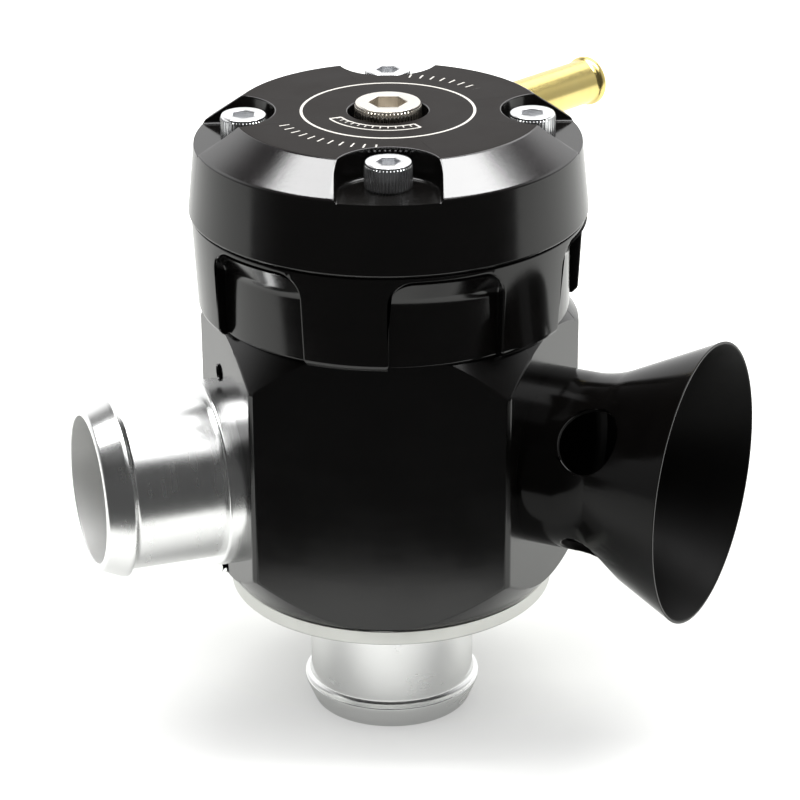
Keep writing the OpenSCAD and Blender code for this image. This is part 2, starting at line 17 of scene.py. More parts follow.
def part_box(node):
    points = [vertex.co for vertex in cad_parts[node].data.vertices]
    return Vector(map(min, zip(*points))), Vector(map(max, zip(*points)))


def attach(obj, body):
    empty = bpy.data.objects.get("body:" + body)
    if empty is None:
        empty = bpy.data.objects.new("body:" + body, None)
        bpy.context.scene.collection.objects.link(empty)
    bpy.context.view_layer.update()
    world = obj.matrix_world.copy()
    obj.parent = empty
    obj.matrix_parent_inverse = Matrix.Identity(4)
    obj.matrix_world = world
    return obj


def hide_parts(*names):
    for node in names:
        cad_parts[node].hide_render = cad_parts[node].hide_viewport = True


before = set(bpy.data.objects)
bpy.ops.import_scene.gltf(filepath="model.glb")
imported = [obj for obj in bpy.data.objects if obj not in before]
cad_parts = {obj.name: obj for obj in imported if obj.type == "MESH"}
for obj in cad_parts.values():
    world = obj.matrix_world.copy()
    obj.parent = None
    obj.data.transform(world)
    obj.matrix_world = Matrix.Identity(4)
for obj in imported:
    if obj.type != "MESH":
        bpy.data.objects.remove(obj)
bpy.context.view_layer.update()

LOG = logging.getLogger("blow_off_valve")
MM = 0.001
# How far a cutter runs past a face, and a distance from the axis beyond the body's sides, both in mm.
OVERRUN = 1.0
CLEAR = 40.0
Place = Matrix
Socket = bpy.types.NodeSocket
Value = Union[float, tuple, Socket]


class Body(Enum):
    """Bodies of the mechanism that a piece can ride on."""

    VALVE = "valve_body"
    HEAD = "head"
    PRELOAD = "preload"


class Slot(Enum):
    """Material slots of the record."""

    BLACK = "black_anodise"
    BRIGHT = "bright_aluminium"
    ZINC = "zinc_steel"
    NICKEL = "nickel_steel"
    GOLD = "gold_brass"


class Cut(Enum):
    """Ways to set one solid against another."""

    AWAY = "DIFFERENCE"
    COMMON = "INTERSECT"


def upright(height: float = 0.0, turn: float = 0.0) -> Place:
    """A place on the valve's axis at a height in mm, turned by degrees."""
    return Matrix.Translation((0, 0, height)) @ Matrix.Rotation(math.radians(turn), 4, "Z")


def outward(azimuth: float, height: float) -> Place:
    """A place on the valve's axis whose own Z points out level at an azimuth in degrees."""
    return upright(height, azimuth) @ Matrix.Rotation(math.pi / 2, 4, "Y")


class Outline:
    """A closed wire of radius and height, drawn corner by corner and then turned."""

    def __init__(self) -> None:
        """Starts with nothing drawn."""
        self.wire = bmesh.new()
        self.first: Optional[bmesh.types.BMVert] = None
        self.last: Optional[bmesh.types.BMVert] = None
        self.rounds: dict[float, list[bmesh.types.BMVert]] = {}

    def to(self, radius: float, height: float, rounded: float = 0.0) -> "Outline":
        """Draws a line to a corner.

        Args:
            radius: Distance from the axis in mm.
            height: Height along the axis in mm.
            rounded: How far along its edges the corner is rounded, in mm.

        Returns:
            The outline itself, to go on drawing.
        """
        corner = self.wire.verts.new((radius, 0, height))
        if self.last is None:
            self.first = corner
        else:
            self.wire.edges.new((self.last, corner))
        self.last = corner
        if rounded:
            self.rounds.setdefault(rounded, []).append(corner)
        return self

    def path(self, *corners: tuple) -> "Outline":
        """Draws lines to several corners.

        Args:
            corners: Radius, height and, where it is rounded, the rounding of each, as for to().

        Returns:
            The outline itself, to go on drawing.
        """
        for corner in corners:
            self.to(*corner)
        return self

    def groove(self, wall: float, floor: float, start: float, end: float) -> "Outline":
        """Draws a square groove from start to end in a wall, all in mm."""
        return self.path((wall, start), (floor, start), (floor, end), (wall, end))

    def arc(self, radius: float, height: float, degrees: float, steps: int = 6) -> "Outline":
        """Carries on from the last corner round a centre.

        Args:
            radius: The centre's distance from the axis in mm.
            height: The centre's height in mm.
            degrees: The angle, positive from outwards to upwards.
            steps: Straight pieces along the arc.

        Returns:
            The outline itself, to go on drawing.
        """
        made = bmesh.ops.spin(self.wire, geom=[self.last], cent=(radius, 0, height), axis=(0, -1, 0),
                              angle=math.radians(degrees), steps=steps)
        self.last = next(g for g in made["geom_last"] if isinstance(g, bmesh.types.BMVert))
        return self

    def turned(self, steps: int = 192) -> bmesh.types.BMesh:
        """Closes the wire, rounds its corners and spins it once round the axis.

        Args:
            steps: Facets round the solid.

        Returns:
            A closed mesh in mm, its axis along Z.
        """
        bm = self.wire
        bm.edges.new((self.last, self.first))
        for width, corners in self.rounds.items():
            bmesh.ops.bevel(bm, geom=corners, offset=width, offset_type="OFFSET", affect="VERTICES",
                            segments=5, profile=0.5, material=-1)
        bmesh.ops.spin(bm, geom=bm.verts[:] + bm.edges[:], cent=(0, 0, 0), axis=(0, 0, 1),
                       angle=2 * math.pi, steps=steps, use_merge=True)
        return tidy(bm, near=0.001)


def tidy(bm: bmesh.types.BMesh, near: float) -> bmesh.types.BMesh:
    """Merges points, drops loose edges and turns the faces outwards.

    Args:
        bm: The mesh.
        near: Distance in mm within which points are merged.

    Returns:
        The same mesh.
    """
    bmesh.ops.remove_doubles(bm, verts=bm.verts, dist=near)
    bmesh.ops.dissolve_degenerate(bm, dist=near / 2, edges=bm.edges)
    bmesh.ops.delete(bm, geom=[e for e in bm.edges if e.is_wire], context="EDGES")
    bmesh.ops.recalc_face_normals(bm, faces=bm.faces)
    if bm.calc_volume(signed=True) < 0:
        bmesh.ops.reverse_faces(bm, faces=bm.faces)
    return bm


def rod(radius: float, low: float, high: float, sides: int = 96, tip: Optional[float] = None,
        place: Optional[Place] = None) -> bmesh.types.BMesh:
    """A round or many-sided bar along Z, for cutting.

    Args:
        radius: Its radius at the low end in mm.
        low: Where it starts along Z in mm.
        high: Where it ends in mm.
        sides: Sides round it.
        tip: Its radius at the high end where that differs.
        place: Where it goes.

    Returns:
        A closed mesh.
    """
    bm = bmesh.new()
    middle = Matrix.Translation((0, 0, (low + high) / 2))
    bmesh.ops.create_cone(bm, cap_ends=True, cap_tris=False, segments=sides, radius1=radius,
                          radius2=radius if tip is None else tip, depth=high - low,
                          matrix=(place or Matrix()) @ middle)
    return bm


def plate(centre: float, radius: float, start: float, sweep: float, corners: Iterable[tuple], low: float,
          high: float, steps: int = 64) -> bmesh.types.BMesh:
    """A flat plate whose edge is one arc closed by a few straight corners.

    Args:
        centre: Place of the arc's centre along X in mm.
        radius: The arc's radius in mm.
        start: Angle in degrees at which the arc starts.
        sweep: Degrees that it runs.
        corners: Points in order from the arc's end back to its start.
        low: Height of the lower face in mm.
        high: Height of the upper face in mm.
        steps: Straight pieces along the arc.

    Returns:
        A closed mesh.
    """
    bm = bmesh.new()
    angle = math.radians(start)
    first = bm.verts.new((centre + radius * math.cos(angle), radius * math.sin(angle), low))
    made = bmesh.ops.spin(bm, geom=[first], cent=(centre, 0, low), axis=(0, 0, 1),
                          angle=math.radians(sweep), steps=steps)
    last = next(g for g in made["geom_last"] if isinstance(g, bmesh.types.BMVert))
    for x, y in corners:
        corner = bm.verts.new((x, y, low))
        bm.edges.new((last, corner))
        last = corner
    bm.edges.new((last, first))
    bmesh.ops.contextual_create(bm, geom=bm.edges[:])
    made = bmesh.ops.extrude_face_region(bm, geom=bm.faces[:])
    bmesh.ops.translate(bm, verts=[g for g in made["geom"] if isinstance(g, bmesh.types.BMVert)],
                        vec=(0, 0, high - low))
    bmesh.ops.recalc_face_normals(bm, faces=bm.faces)
    return bm


def as_mesh(bm: bmesh.types.BMesh, name: str) -> bpy.types.Mesh:
    """Writes a bmesh to a new mesh.

    Args:
        bm: The bmesh, which is used up.
        name: The mesh's name.

    Returns:
        The mesh.
    """
    mesh = bpy.data.meshes.new(name)
    bm.to_mesh(mesh)
    bm.free()
    return mesh


def put(name: str, data: bpy.types.ID) -> bpy.types.Object:
    """Adds an object to the scene.

    Args:
        name: The object's name.
        data: Its mesh, lamp or camera.

    Returns:
        The object.
    """
    obj = bpy.data.objects.new(name, data)
    bpy.context.scene.collection.objects.link(obj)
    return obj


def copies(bm: bmesh.types.BMesh, places: Iterable[Place]) -> bmesh.types.BMesh:
    """Puts a copy of a mesh at each place.

    Args:
        bm: The mesh, which is used up.
        places: Where the copies go.

    Returns:
        One mesh that holds them all.
    """
    mesh = as_mesh(bm, "copy")
    out = bmesh.new()
    for place in places:
        mesh.transform(place)
        out.from_mesh(mesh)
        mesh.transform(place.inverted())
    bpy.data.meshes.remove(mesh)
    return out


def joined(*parts: bmesh.types.BMesh) -> bmesh.types.BMesh:
    """Makes several meshes one.

    Args:
        parts: The meshes, which are used up.

    Returns:
        One mesh that holds them all.
    """
    out = bmesh.new()
    for bm in parts:
        mesh = as_mesh(bm, "part")
        out.from_mesh(mesh)
        bpy.data.meshes.remove(mesh)
    return out


def around(count: int, start: float = 0.0, out: float = 0.0) -> list[Place]:
    """Places evenly round the axis, from a start in degrees, moved out along X by mm."""
    return [upright(turn=start + i * 360 / count) @ Matrix.Translation((out, 0, 0)) for i in range(count)]


def against(target: bmesh.types.BMesh, tool: bmesh.types.BMesh, cut: Cut = Cut.AWAY) -> bmesh.types.BMesh:
    """Cuts a tool out of a solid, or keeps what they have in common. Both meshes are used up.

    Args:
        target: The solid.
        tool: What it is set against.
        cut: Which of the two is done.

    Returns:
        The solid that is left.
    """
    held = [put(name, as_mesh(bm, name)) for name, bm in (("target", target), ("tool", tool))]
    change = held[0].modifiers.new("cut", "BOOLEAN")
    change.operation, change.solver, change.object = cut.value, "EXACT", held[1]
    shaped = held[0].evaluated_get(bpy.context.evaluated_depsgraph_get())
    out = bmesh.new()
    out.from_mesh(shaped.to_mesh())
    shaped.to_mesh_clear()
    for obj in held:
        mesh = obj.data
        bpy.data.objects.remove(obj)
        bpy.data.meshes.remove(mesh)
    return out


def round_edges(bm: bmesh.types.BMesh, edges: list[bmesh.types.BMEdge], width: float, segments: int) -> None:
    """Rounds edges by a width in mm, with a number of facets across."""
    bmesh.ops.bevel(bm, geom=edges, offset=width, offset_type="OFFSET", affect="EDGES", segments=segments,
                    profile=0.5, material=-1)


def soften(bm: bmesh.types.BMesh, width: float, where: Callable[[Vector], bool], segments: int = 2,
           least: float = 30.0) -> bmesh.types.BMesh:
    """Rounds the sharp edges of a cut.

    Args:
        bm: The mesh.
        width: How far along each face the rounding goes, in mm.
        where: Whether the middle of an edge is in the part that is softened.
        segments: Facets across the rounding.
        least: Smallest angle in degrees between two faces that counts as sharp.

    Returns:
        The same mesh.
    """
    tidy(bm, near=0.03)
    edges = [e for e in bm.edges if e.is_manifold and e.calc_face_angle(0) > math.radians(least)
             and where((e.verts[0].co + e.verts[1].co) / 2)]
    round_edges(bm, edges, width, segments)
    return tidy(bm, near=0.004)


def paint(bm: bmesh.types.BMesh, choose: Callable[[bmesh.types.BMFace], int]) -> bmesh.types.BMesh:
    """Gives each face one of its piece's finishes.

    Args:
        bm: The mesh.
        choose: Gives the number of a face's finish.

    Returns:
        The same mesh.
    """
    for face in bm.faces:
        face.material_index = choose(face)
    return bm


class Tree:
    """Adds and joins the nodes of one node tree."""

    def __init__(self, tree: bpy.types.NodeTree) -> None:
        """Takes an empty node tree."""
        self.tree = tree

    def add(self, kind: str, inputs: Optional[dict] = None, **settings: object) -> bpy.types.Node:
        """Adds a node.

        Args:
            kind: The node's type without the Shader prefix where it has one.
            inputs: Values or sockets for its inputs, by name or number.
            settings: Properties of the node.

        Returns:
            The node.
        """
        node = self.tree.nodes.new(kind if kind.startswith("Node") else "ShaderNode" + kind)
        for key, value in settings.items():
            setattr(node, key, value)
        for key, value in (inputs or {}).items():
            self.feed(node.inputs[key], value)
        return node

    def feed(self, socket: Socket, value: Value) -> None:
        """Joins a socket to an input, or sets the input's own value.

        Args:
            socket: The input.
            value: What it gets.
        """
        if isinstance(value, bpy.types.NodeSocket):
            self.tree.links.new(value, socket)
        else:
            socket.default_value = value

    def math(self, operation: str, a: Value, b: Value = 0.0, c: Value = 0.0) -> Socket:
        """The result of a Math node."""
        return self.add("Math", {0: a, 1: b, 2: c}, operation=operation).outputs[0]

    def vector(self, operation: str, a: Value, b: Value = (0.0, 0.0, 0.0)) -> Socket:
        """The result of a Vector Math node, a number where the operation gives one."""
        outputs = self.add("VectorMath", {0: a, 1: b}, operation=operation).outputs
        return outputs["Value" if operation in ("LENGTH", "DISTANCE", "DOT_PRODUCT") else "Vector"]

    def radius(self, vector: Socket) -> Socket:
        """How far a vector lies from the Z axis."""
        return self.vector("LENGTH", self.vector("MULTIPLY", vector, (1, 1, 0)))

    def ramp(self, value: Socket, low: float, high: float, start: float = 0.0, end: float = 1.0) -> Socket:
        """A smooth step of a value from start at low to end at high."""
        return self.add("MapRange", {"Value": value, "From Min": low, "From Max": high, "To Min": start,
                                     "To Max": end}, interpolation_type="SMOOTHSTEP").outputs["Result"]

    def mix(self, share: Value, a: Value, b: Value) -> Socket:
        """A mix of two colours."""
        return self.add("Mix", {0: share, 6: a, 7: b}, data_type="RGBA").outputs[2]


def cleared(owner: Union[bpy.types.Material, bpy.types.World]) -> Tree:
    """The emptied node tree of a material or world.

    Args:
        owner: The material or world.

    Returns:
        Its tree, with no nodes.
    """
    owner.use_nodes = True
    owner.node_tree.nodes.clear()
    return Tree(owner.node_tree)


def group(name: str, inputs: dict[str, str], outputs: Iterable[str]) -> tuple[Tree, Socket, bpy.types.Node]:
    """Starts a shader node group.

    Args:
        name: The group's name.
        inputs: Socket type of each input, without its NodeSocket prefix, by name.
        outputs: Names of its float outputs.

    Returns:
        The group's tree, its input node's outputs and its output node.
    """
    made = bpy.data.node_groups.new(name, "ShaderNodeTree")
    for key, kind in inputs.items():
        made.interface.new_socket(key, in_out="INPUT", socket_type="NodeSocket" + kind)
    for key in outputs:
        made.interface.new_socket(key, in_out="OUTPUT", socket_type="NodeSocketFloat")
    tree = Tree(made)
    return tree, tree.add("NodeGroupInput").outputs, tree.add("NodeGroupOutput")


@dataclass
class Effects:
    """Surface effects that several finishes share, each a node group made once.

    face_share carries the lathe's marks from walls on to flat faces, and slow stretches their tone.
    """

    face_share: float = 0.45
    slow: float = 0.13

    def __post_init__(self) -> None:
        """Makes the groups."""
        self.lines = self.turned_lines()
        self.grain = self.fine_grain()
        self.cloud = self.handled_cloud()

    def turned_lines(self) -> bpy.types.NodeTree:
        """Marks that a lathe tool leaves, round the Z axis of the vector.

        Returns:
            A group from a vector in mm and a pitch to a height and a slower tone, both about 0 to 1.
        """
        t, given, out = group("turned lines", {"Vector": "Vector", "Pitch": "Float"}, ("Height", "Tone"))
        height = t.add("SeparateXYZ", {0: given["Vector"]}).outputs["Z"]
        along = t.math("MULTIPLY_ADD", t.radius(given["Vector"]), -self.face_share, height)
        count = t.math("DIVIDE", along, given["Pitch"])
        fine = t.add("TexNoise", {"W": count, "Scale": 1.0, "Detail": 2.0, "Roughness": 0.6},
                     noise_dimensions="1D")
        slow = t.add("TexNoise", {"W": t.math("MULTIPLY", count, self.slow), "Scale": 1.0, "Detail": 3.0},
                     noise_dimensions="1D")
        t.feed(out.inputs["Height"], fine.outputs[0])
        t.feed(out.inputs["Tone"], slow.outputs[0])
        return t.tree

    def fine_grain(self) -> bpy.types.NodeTree:
        """Fine pits of an etched or blasted surface.

        Returns:
            A group from a vector in mm and a size to a height and a sparse sparkle.
        """
        t, given, out = group("fine grain", {"Vector": "Vector", "Size": "Float"}, ("Height", "Sparkle"))
        at = t.vector("DIVIDE", given["Vector"], given["Size"])
        fine = t.add("TexNoise", {"Vector": at, "Scale": 1.0, "Detail": 1.5, "Roughness": 0.6})
        cells = t.add("TexVoronoi", {"Vector": at, "Scale": 0.6}, feature="F1")
        bright = t.add("SeparateColor", {0: cells.outputs["Color"]}).outputs[0]
        t.feed(out.inputs["Height"], fine.outputs[0])
        t.feed(out.inputs["Sparkle"], t.ramp(bright, 0.7, 1.0))
        return t.tree

    def handled_cloud(self) -> bpy.types.NodeTree:
        """Broad, faint differences of polish that handling leaves.

        Returns:
            A group from a vector in mm and a size to a tone about 0 to 1.
        """
        t, given, out = group("handled cloud", {"Vector": "Vector", "Size": "Float"}, ("Tone",))
        at = t.vector("DIVIDE", given["Vector"], given["Size"])
        cloud = t.add("TexNoise", {"Vector": at, "Scale": 1.0, "Detail": 4.0, "Roughness": 0.55})
        t.feed(out.inputs["Tone"], t.ramp(cloud.outputs[0], 0.3, 0.7))
        return t.tree


@dataclass(frozen=True)
class Finish:
    """A metal, coated metal or rubber surface."""

    name: str
    colour: tuple[float, float, float]
    worn: tuple[float, float, float]
    metallic: float
    roughness: tuple[float, float]
    ior: float = 1.5
    pitch: float = 0.2
    line_depth: float = 0.001
    grain: float = 0.12
    grain_depth: float = 0.001
    sparkle: float = 0.0
    cloud: float = 9.0
    etched: bool = False

    def dress(self, effects: Effects, place: Optional[Place] = None) -> bpy.types.Material:
        """Makes the finish as a material for a piece at a place.

        Args:
            effects: The shared node groups.
            place: The piece's own frame in mm, whose Z its turning marks go round.

        Returns:
            The material.
        """
        material = bpy.data.materials.new(self.name)
        t = cleared(material)
        back = (place or Matrix()).inverted()
        coordinates = t.add("TexCoord").outputs["Object"]
        at = t.add("Mapping", {"Vector": coordinates, "Location": back.translation,
                               "Rotation": back.to_euler(), "Scale": (1 / MM,) * 3}).outputs[0]
        lines = t.add("Group", node_tree=effects.lines)
        grain = t.add("Group", node_tree=effects.grain)
        cloud = t.add("Group", node_tree=effects.cloud)
        for node, key, size in ((lines, "Pitch", self.pitch), (grain, "Size", self.grain),
                                (cloud, "Size", self.cloud)):
            t.feed(node.inputs["Vector"], at)
            t.feed(node.inputs[key], size)
        tone = t.math("MULTIPLY_ADD", lines.outputs["Tone"], 0.5, t.math("MULTIPLY", cloud.outputs[0], 0.5))
        smooth, rough = self.roughness
        rough = t.math("MULTIPLY_ADD", tone, rough - smooth, smooth)
        if self.sparkle:
            rough = t.math("MULTIPLY_ADD", grain.outputs["Sparkle"], -self.sparkle, rough)
        shade = t.mix(tone, self.colour + (1,), self.worn + (1,))
        if self.etched:
            etching = Etching()
            mask = etching.mask(t, at)
            shade = t.mix(mask, shade, etching.bare + (1,))
            rough = t.math("MULTIPLY_ADD", mask, etching.rougher, rough)
        height = t.math("MULTIPLY_ADD", lines.outputs["Height"], self.line_depth,
                        t.math("MULTIPLY", grain.outputs["Height"], self.grain_depth))
        bump = t.add("Bump", {"Height": height, "Strength": 1.0, "Distance": MM})
        skin = t.add("BsdfPrincipled", {"Base Color": shade, "Roughness": rough, "Metallic": self.metallic,
                                        "IOR": self.ior, "Normal": bump.outputs[0]})
        t.add("OutputMaterial", {"Surface": skin.outputs[0]})
        return material


@dataclass(frozen=True)
class Etching:
    """Plain etched lines on the top of the cap: a ring, a scale below the screw and two rows of ticks."""

    bare: tuple[float, float, float] = (0.62, 0.60, 0.56)
    rougher: float = 0.2
    ring: float = 12.87
    ring_width: float = 0.42
    scale: tuple[float, float] = (7.6, 9.4)
    scale_line: float = 0.3
    scale_span: tuple[float, float] = (-17.6, 96.0)
    scale_end: float = 2.4
    scale_ticks: tuple[float, float] = (8.0, 1.4)
    scale_tick_at: tuple[float, float] = (8.15, 0.7)
    row: tuple[float, float] = (16.6, 1.6)
    row_ticks: tuple[float, float] = (6.0, 0.9)
    row_spans: tuple[tuple[float, float], tuple[float, float]] = ((-35.6, 62.0), (148.4, 44.0))

    def mask(self, t: Tree, at: Socket) -> Socket:
        """Where the coat is etched away.

        Args:
            t: The material's tree.
            at: A vector in mm from the valve's axis.

        Returns:
            1 on a line and 0 elsewhere.
        """
        radius, parts = t.radius(at), t.add("SeparateXYZ", {0: at}).outputs
        angle = t.math("MULTIPLY", t.math("ARCTAN2", parts["Y"], parts["X"]), 180 / math.pi)
        ring = self.near(t, radius, self.ring, self.ring_width)
        (low, high), (middle, sweep) = self.scale, self.scale_span
        ends = self.either(t, angle, *((middle + side * sweep / 2, self.scale_end) for side in (-1, 1)))
        ends = t.math("MULTIPLY", self.near(t, radius, (low + high) / 2, high - low), ends)
        edges = self.either(t, radius, (low, self.scale_line), (high, self.scale_line))
        marks = t.math("MULTIPLY", self.ticks(t, angle, *self.scale_ticks),
                       self.near(t, radius, *self.scale_tick_at))
        scale = t.math("MULTIPLY", self.near(t, angle, middle, sweep), t.math("MAXIMUM", edges, marks))
        rows = t.math("MULTIPLY", self.ticks(t, angle, *self.row_ticks), self.near(t, radius, *self.row))
        rows = t.math("MULTIPLY", rows, self.either(t, angle, *self.row_spans))
        return t.math("MAXIMUM", ring, t.math("MAXIMUM", t.math("MAXIMUM", ends, scale), rows))

    @staticmethod
    def near(t: Tree, value: Socket, middle: float, width: float) -> Socket:
        """1 where a value lies within a width round a middle."""
        return t.math("COMPARE", value, middle, width / 2)

    @staticmethod
    def either(t: Tree, value: Socket, one: tuple[float, float], other: tuple[float, float]) -> Socket:
        """1 where a value lies near one of two middles, each given with its width."""
        return t.math("MAXIMUM", Etching.near(t, value, *one), Etching.near(t, value, *other))

    @staticmethod
    def ticks(t: Tree, angle: Socket, step: float, width: float) -> Socket:
        """1 on marks that come again every step of degrees."""
        return t.math("LESS_THAN", t.math("PINGPONG", angle, step / 2), width / 2)


@dataclass(frozen=True)
class Finishes:
    """Every finish of the valve."""

    gloss: Finish = Finish("black anodise, turned", (0.004, 0.0037, 0.0036), (0.006, 0.0055, 0.005), 0.0,
                           (0.09, 0.17), pitch=0.3, line_depth=0.0012, grain_depth=0.0006)
    deep: Finish = Finish("black anodise, deep", (0.002, 0.0018, 0.0017), (0.003, 0.0027, 0.0025), 0.0,
                          (0.09, 0.16), ior=1.22, pitch=0.3, line_depth=0.001, grain_depth=0.0006)
    matt: Finish = Finish("black anodise, matt", (0.0016, 0.0015, 0.0014), (0.0022, 0.002, 0.0019), 0.0,
                          (0.42, 0.5), ior=1.18, pitch=0.3, line_depth=0.001, grain_depth=0.0006)
    satin: Finish = Finish("black anodise, satin", (0.009, 0.0073, 0.0066), (0.012, 0.0098, 0.0088), 0.0,
                           (0.34, 0.44), ior=1.13, pitch=0.22, line_depth=0.002, grain=0.16,
                           grain_depth=0.006, etched=True)
    facet: Finish = Finish("black anodise, cut facet", (0.010, 0.009, 0.009), (0.013, 0.0115, 0.012), 0.0,
                           (0.11, 0.18), ior=1.9, pitch=0.22, line_depth=0.002, grain=0.16,
                           grain_depth=0.012, sparkle=0.05)
    milled: Finish = Finish("black anodise, milled", (0.0025, 0.0023, 0.0021), (0.0035, 0.0032, 0.003), 0.0,
                            (0.11, 0.2), ior=1.55, pitch=0.35, line_depth=0.0008, grain_depth=0.0008)
    bright: Finish = Finish("bright turned aluminium", (0.97, 0.975, 0.97), (0.95, 0.955, 0.95), 1.0,
                            (0.2, 0.3), pitch=0.24, line_depth=0.0035, grain=0.2, grain_depth=0.0015)
    bored: Finish = Finish("bored aluminium", (0.93, 0.93, 0.92), (0.88, 0.88, 0.87), 0.3, (0.35, 0.5),
                           pitch=0.24, line_depth=0.002)
    # Brushed aluminium for the flange's rim, rougher than bright aluminium, and its colour darker to paint
    # the shade that the rim reflects.
    brushed_painted_shade: Finish = Finish("brushed aluminium", (0.66, 0.665, 0.64), (0.6, 0.605, 0.58), 1.0, (0.3, 0.4),
                             pitch=0.24, line_depth=0.003)
    zinc: Finish = Finish("zinc plated steel", (0.94, 0.945, 0.95), (0.88, 0.89, 0.91), 1.0, (0.16, 0.28),
                          pitch=0.12, line_depth=0.0008, grain=0.1, grain_depth=0.002)
    nickel: Finish = Finish("nickel plated steel", (0.95, 0.91, 0.84), (0.88, 0.83, 0.75), 1.0, (0.16, 0.28),
                            pitch=0.16, line_depth=0.001, grain=0.1, grain_depth=0.0015)
    steel: Finish = Finish("spring steel", (0.46, 0.46, 0.47), (0.38, 0.37, 0.36), 1.0, (0.26, 0.42),
                           grain=0.15, grain_depth=0.002)
    gold: Finish = Finish("gold plated brass", (0.93, 0.77, 0.32), (0.90, 0.72, 0.26), 1.0, (0.16, 0.28),
                          line_depth=0.0008)
    rubber: Finish = Finish("black rubber", (0.018, 0.018, 0.019), (0.030, 0.030, 0.030), 0.0, (0.5, 0.7),
                            grain=0.25, grain_depth=0.006)


@dataclass
class Workshop:
    """Turns meshes into finished pieces that ride on the frame."""

    effects: Effects
    crease: float = 34.0

    def hand_over(self, bm: bmesh.types.BMesh, node: str, body: Body, slot: Slot,
                  finishes: Iterable[Finish], place: Optional[Place] = None) -> bpy.types.Object:
        """Makes a mesh in mm a piece in metres that stands for a CAD node.

        Args:
            bm: The mesh, drawn in its own frame, which is used up.
            node: The CAD node it stands for.
            body: The body it rides on.
            slot: The record's material slot; not used.
            finishes: One finish for each material index of the faces.
            place: The piece's own frame in mm.

        Returns:
            The finished object.
        """
        place = place or Matrix()
        opened = sum(not e.is_manifold for e in bm.edges)
        bm.transform(Matrix.Scale(MM, 4) @ place)
        for face in bm.faces:
            face.smooth = True
        for edge in bm.edges:
            edge.smooth = edge.calc_face_angle(0) < math.radians(self.crease)
        mesh = as_mesh(bm, node + "_piece")
        for finish in finishes:
            mesh.materials.append(finish.dress(self.effects, place))
        obj = put(node + "_piece", mesh)
        even = obj.modifiers.new("even normals", "WEIGHTED_NORMAL")
        even.keep_sharp = True
        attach(obj, body.value)
        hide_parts(node)
        LOG.info("%s: %d faces, %d open edges", obj.name, len(mesh.polygons), opened)
        return obj

    def repaint(self, finish: Finish, *nodes: str, place: Optional[Place] = None) -> None:
        """Gives CAD nodes that stay as they are a finish.

        Args:
            finish: The finish.
            nodes: Names of the CAD nodes.
            place: The frame in mm that its marks go round.
        """
        material = finish.dress(self.effects, place)
        for name in nodes:
            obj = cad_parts[name]
            for slot in obj.material_slots:
                slot.material = material
            LOG.info("%s: %s", name, finish.name)


def level(node: str, high: bool) -> float:
    """Height in mm of a CAD node's lowest or highest point."""
    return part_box(node)[1 if high else 0][2] / MM


def middle_of(node: str) -> float:
    """Height in mm of a CAD node's middle."""
    return (level(node, False) + level(node, True)) / 2


@dataclass(frozen=True)
class Port:
    """One of the body's two side ports, by its azimuth in degrees and its height in mm."""

    turn: float
    height: float

    def place(self, rise: float = 0.0) -> Place:
        """The port's own frame, or one raised over it by mm."""
        return outward(self.turn, self.height + rise)


RECIRC = Port(-158.0, middle_of("recirc_tail"))
TRUMPET = Port(-22.0, middle_of("trumpet"))
PORTS = (RECIRC, TRUMPET)
FLANGE_SCREWS = around(4, 45.0, 21.475)


@dataclass
class Tail:
    """Outline of a hose tail, from its end to its root, shared by the inlet and the side outlet."""

    bore: float = 11.2
    tube: float = 12.8
    lead: float = 0.5
    barb: float = 13.8
    barb_end: float = 3.55
    barb_back: float = 5.05

    def draw(self, height: Callable[[float], float], sign: int) -> Outline:
        """Starts an outline with the tail's end and barb.

        Args:
            height: Turns a distance from the end into a height.
            sign: 1 where the heights rise from the end, -1 where they fall.

        Returns:
            An outline that has come to the plain tube behind the barb.
        """
        fillet = self.barb - self.tube
        line = Outline().path((self.bore, height(0), 0.25), (self.tube - self.lead, height(0), 0.4))
        line.path((self.barb, height(self.barb_end), 0.3), (self.barb, height(self.barb_back - fillet), 0.2))
        return line.arc(self.barb, height(self.barb_back), -90 * sign)


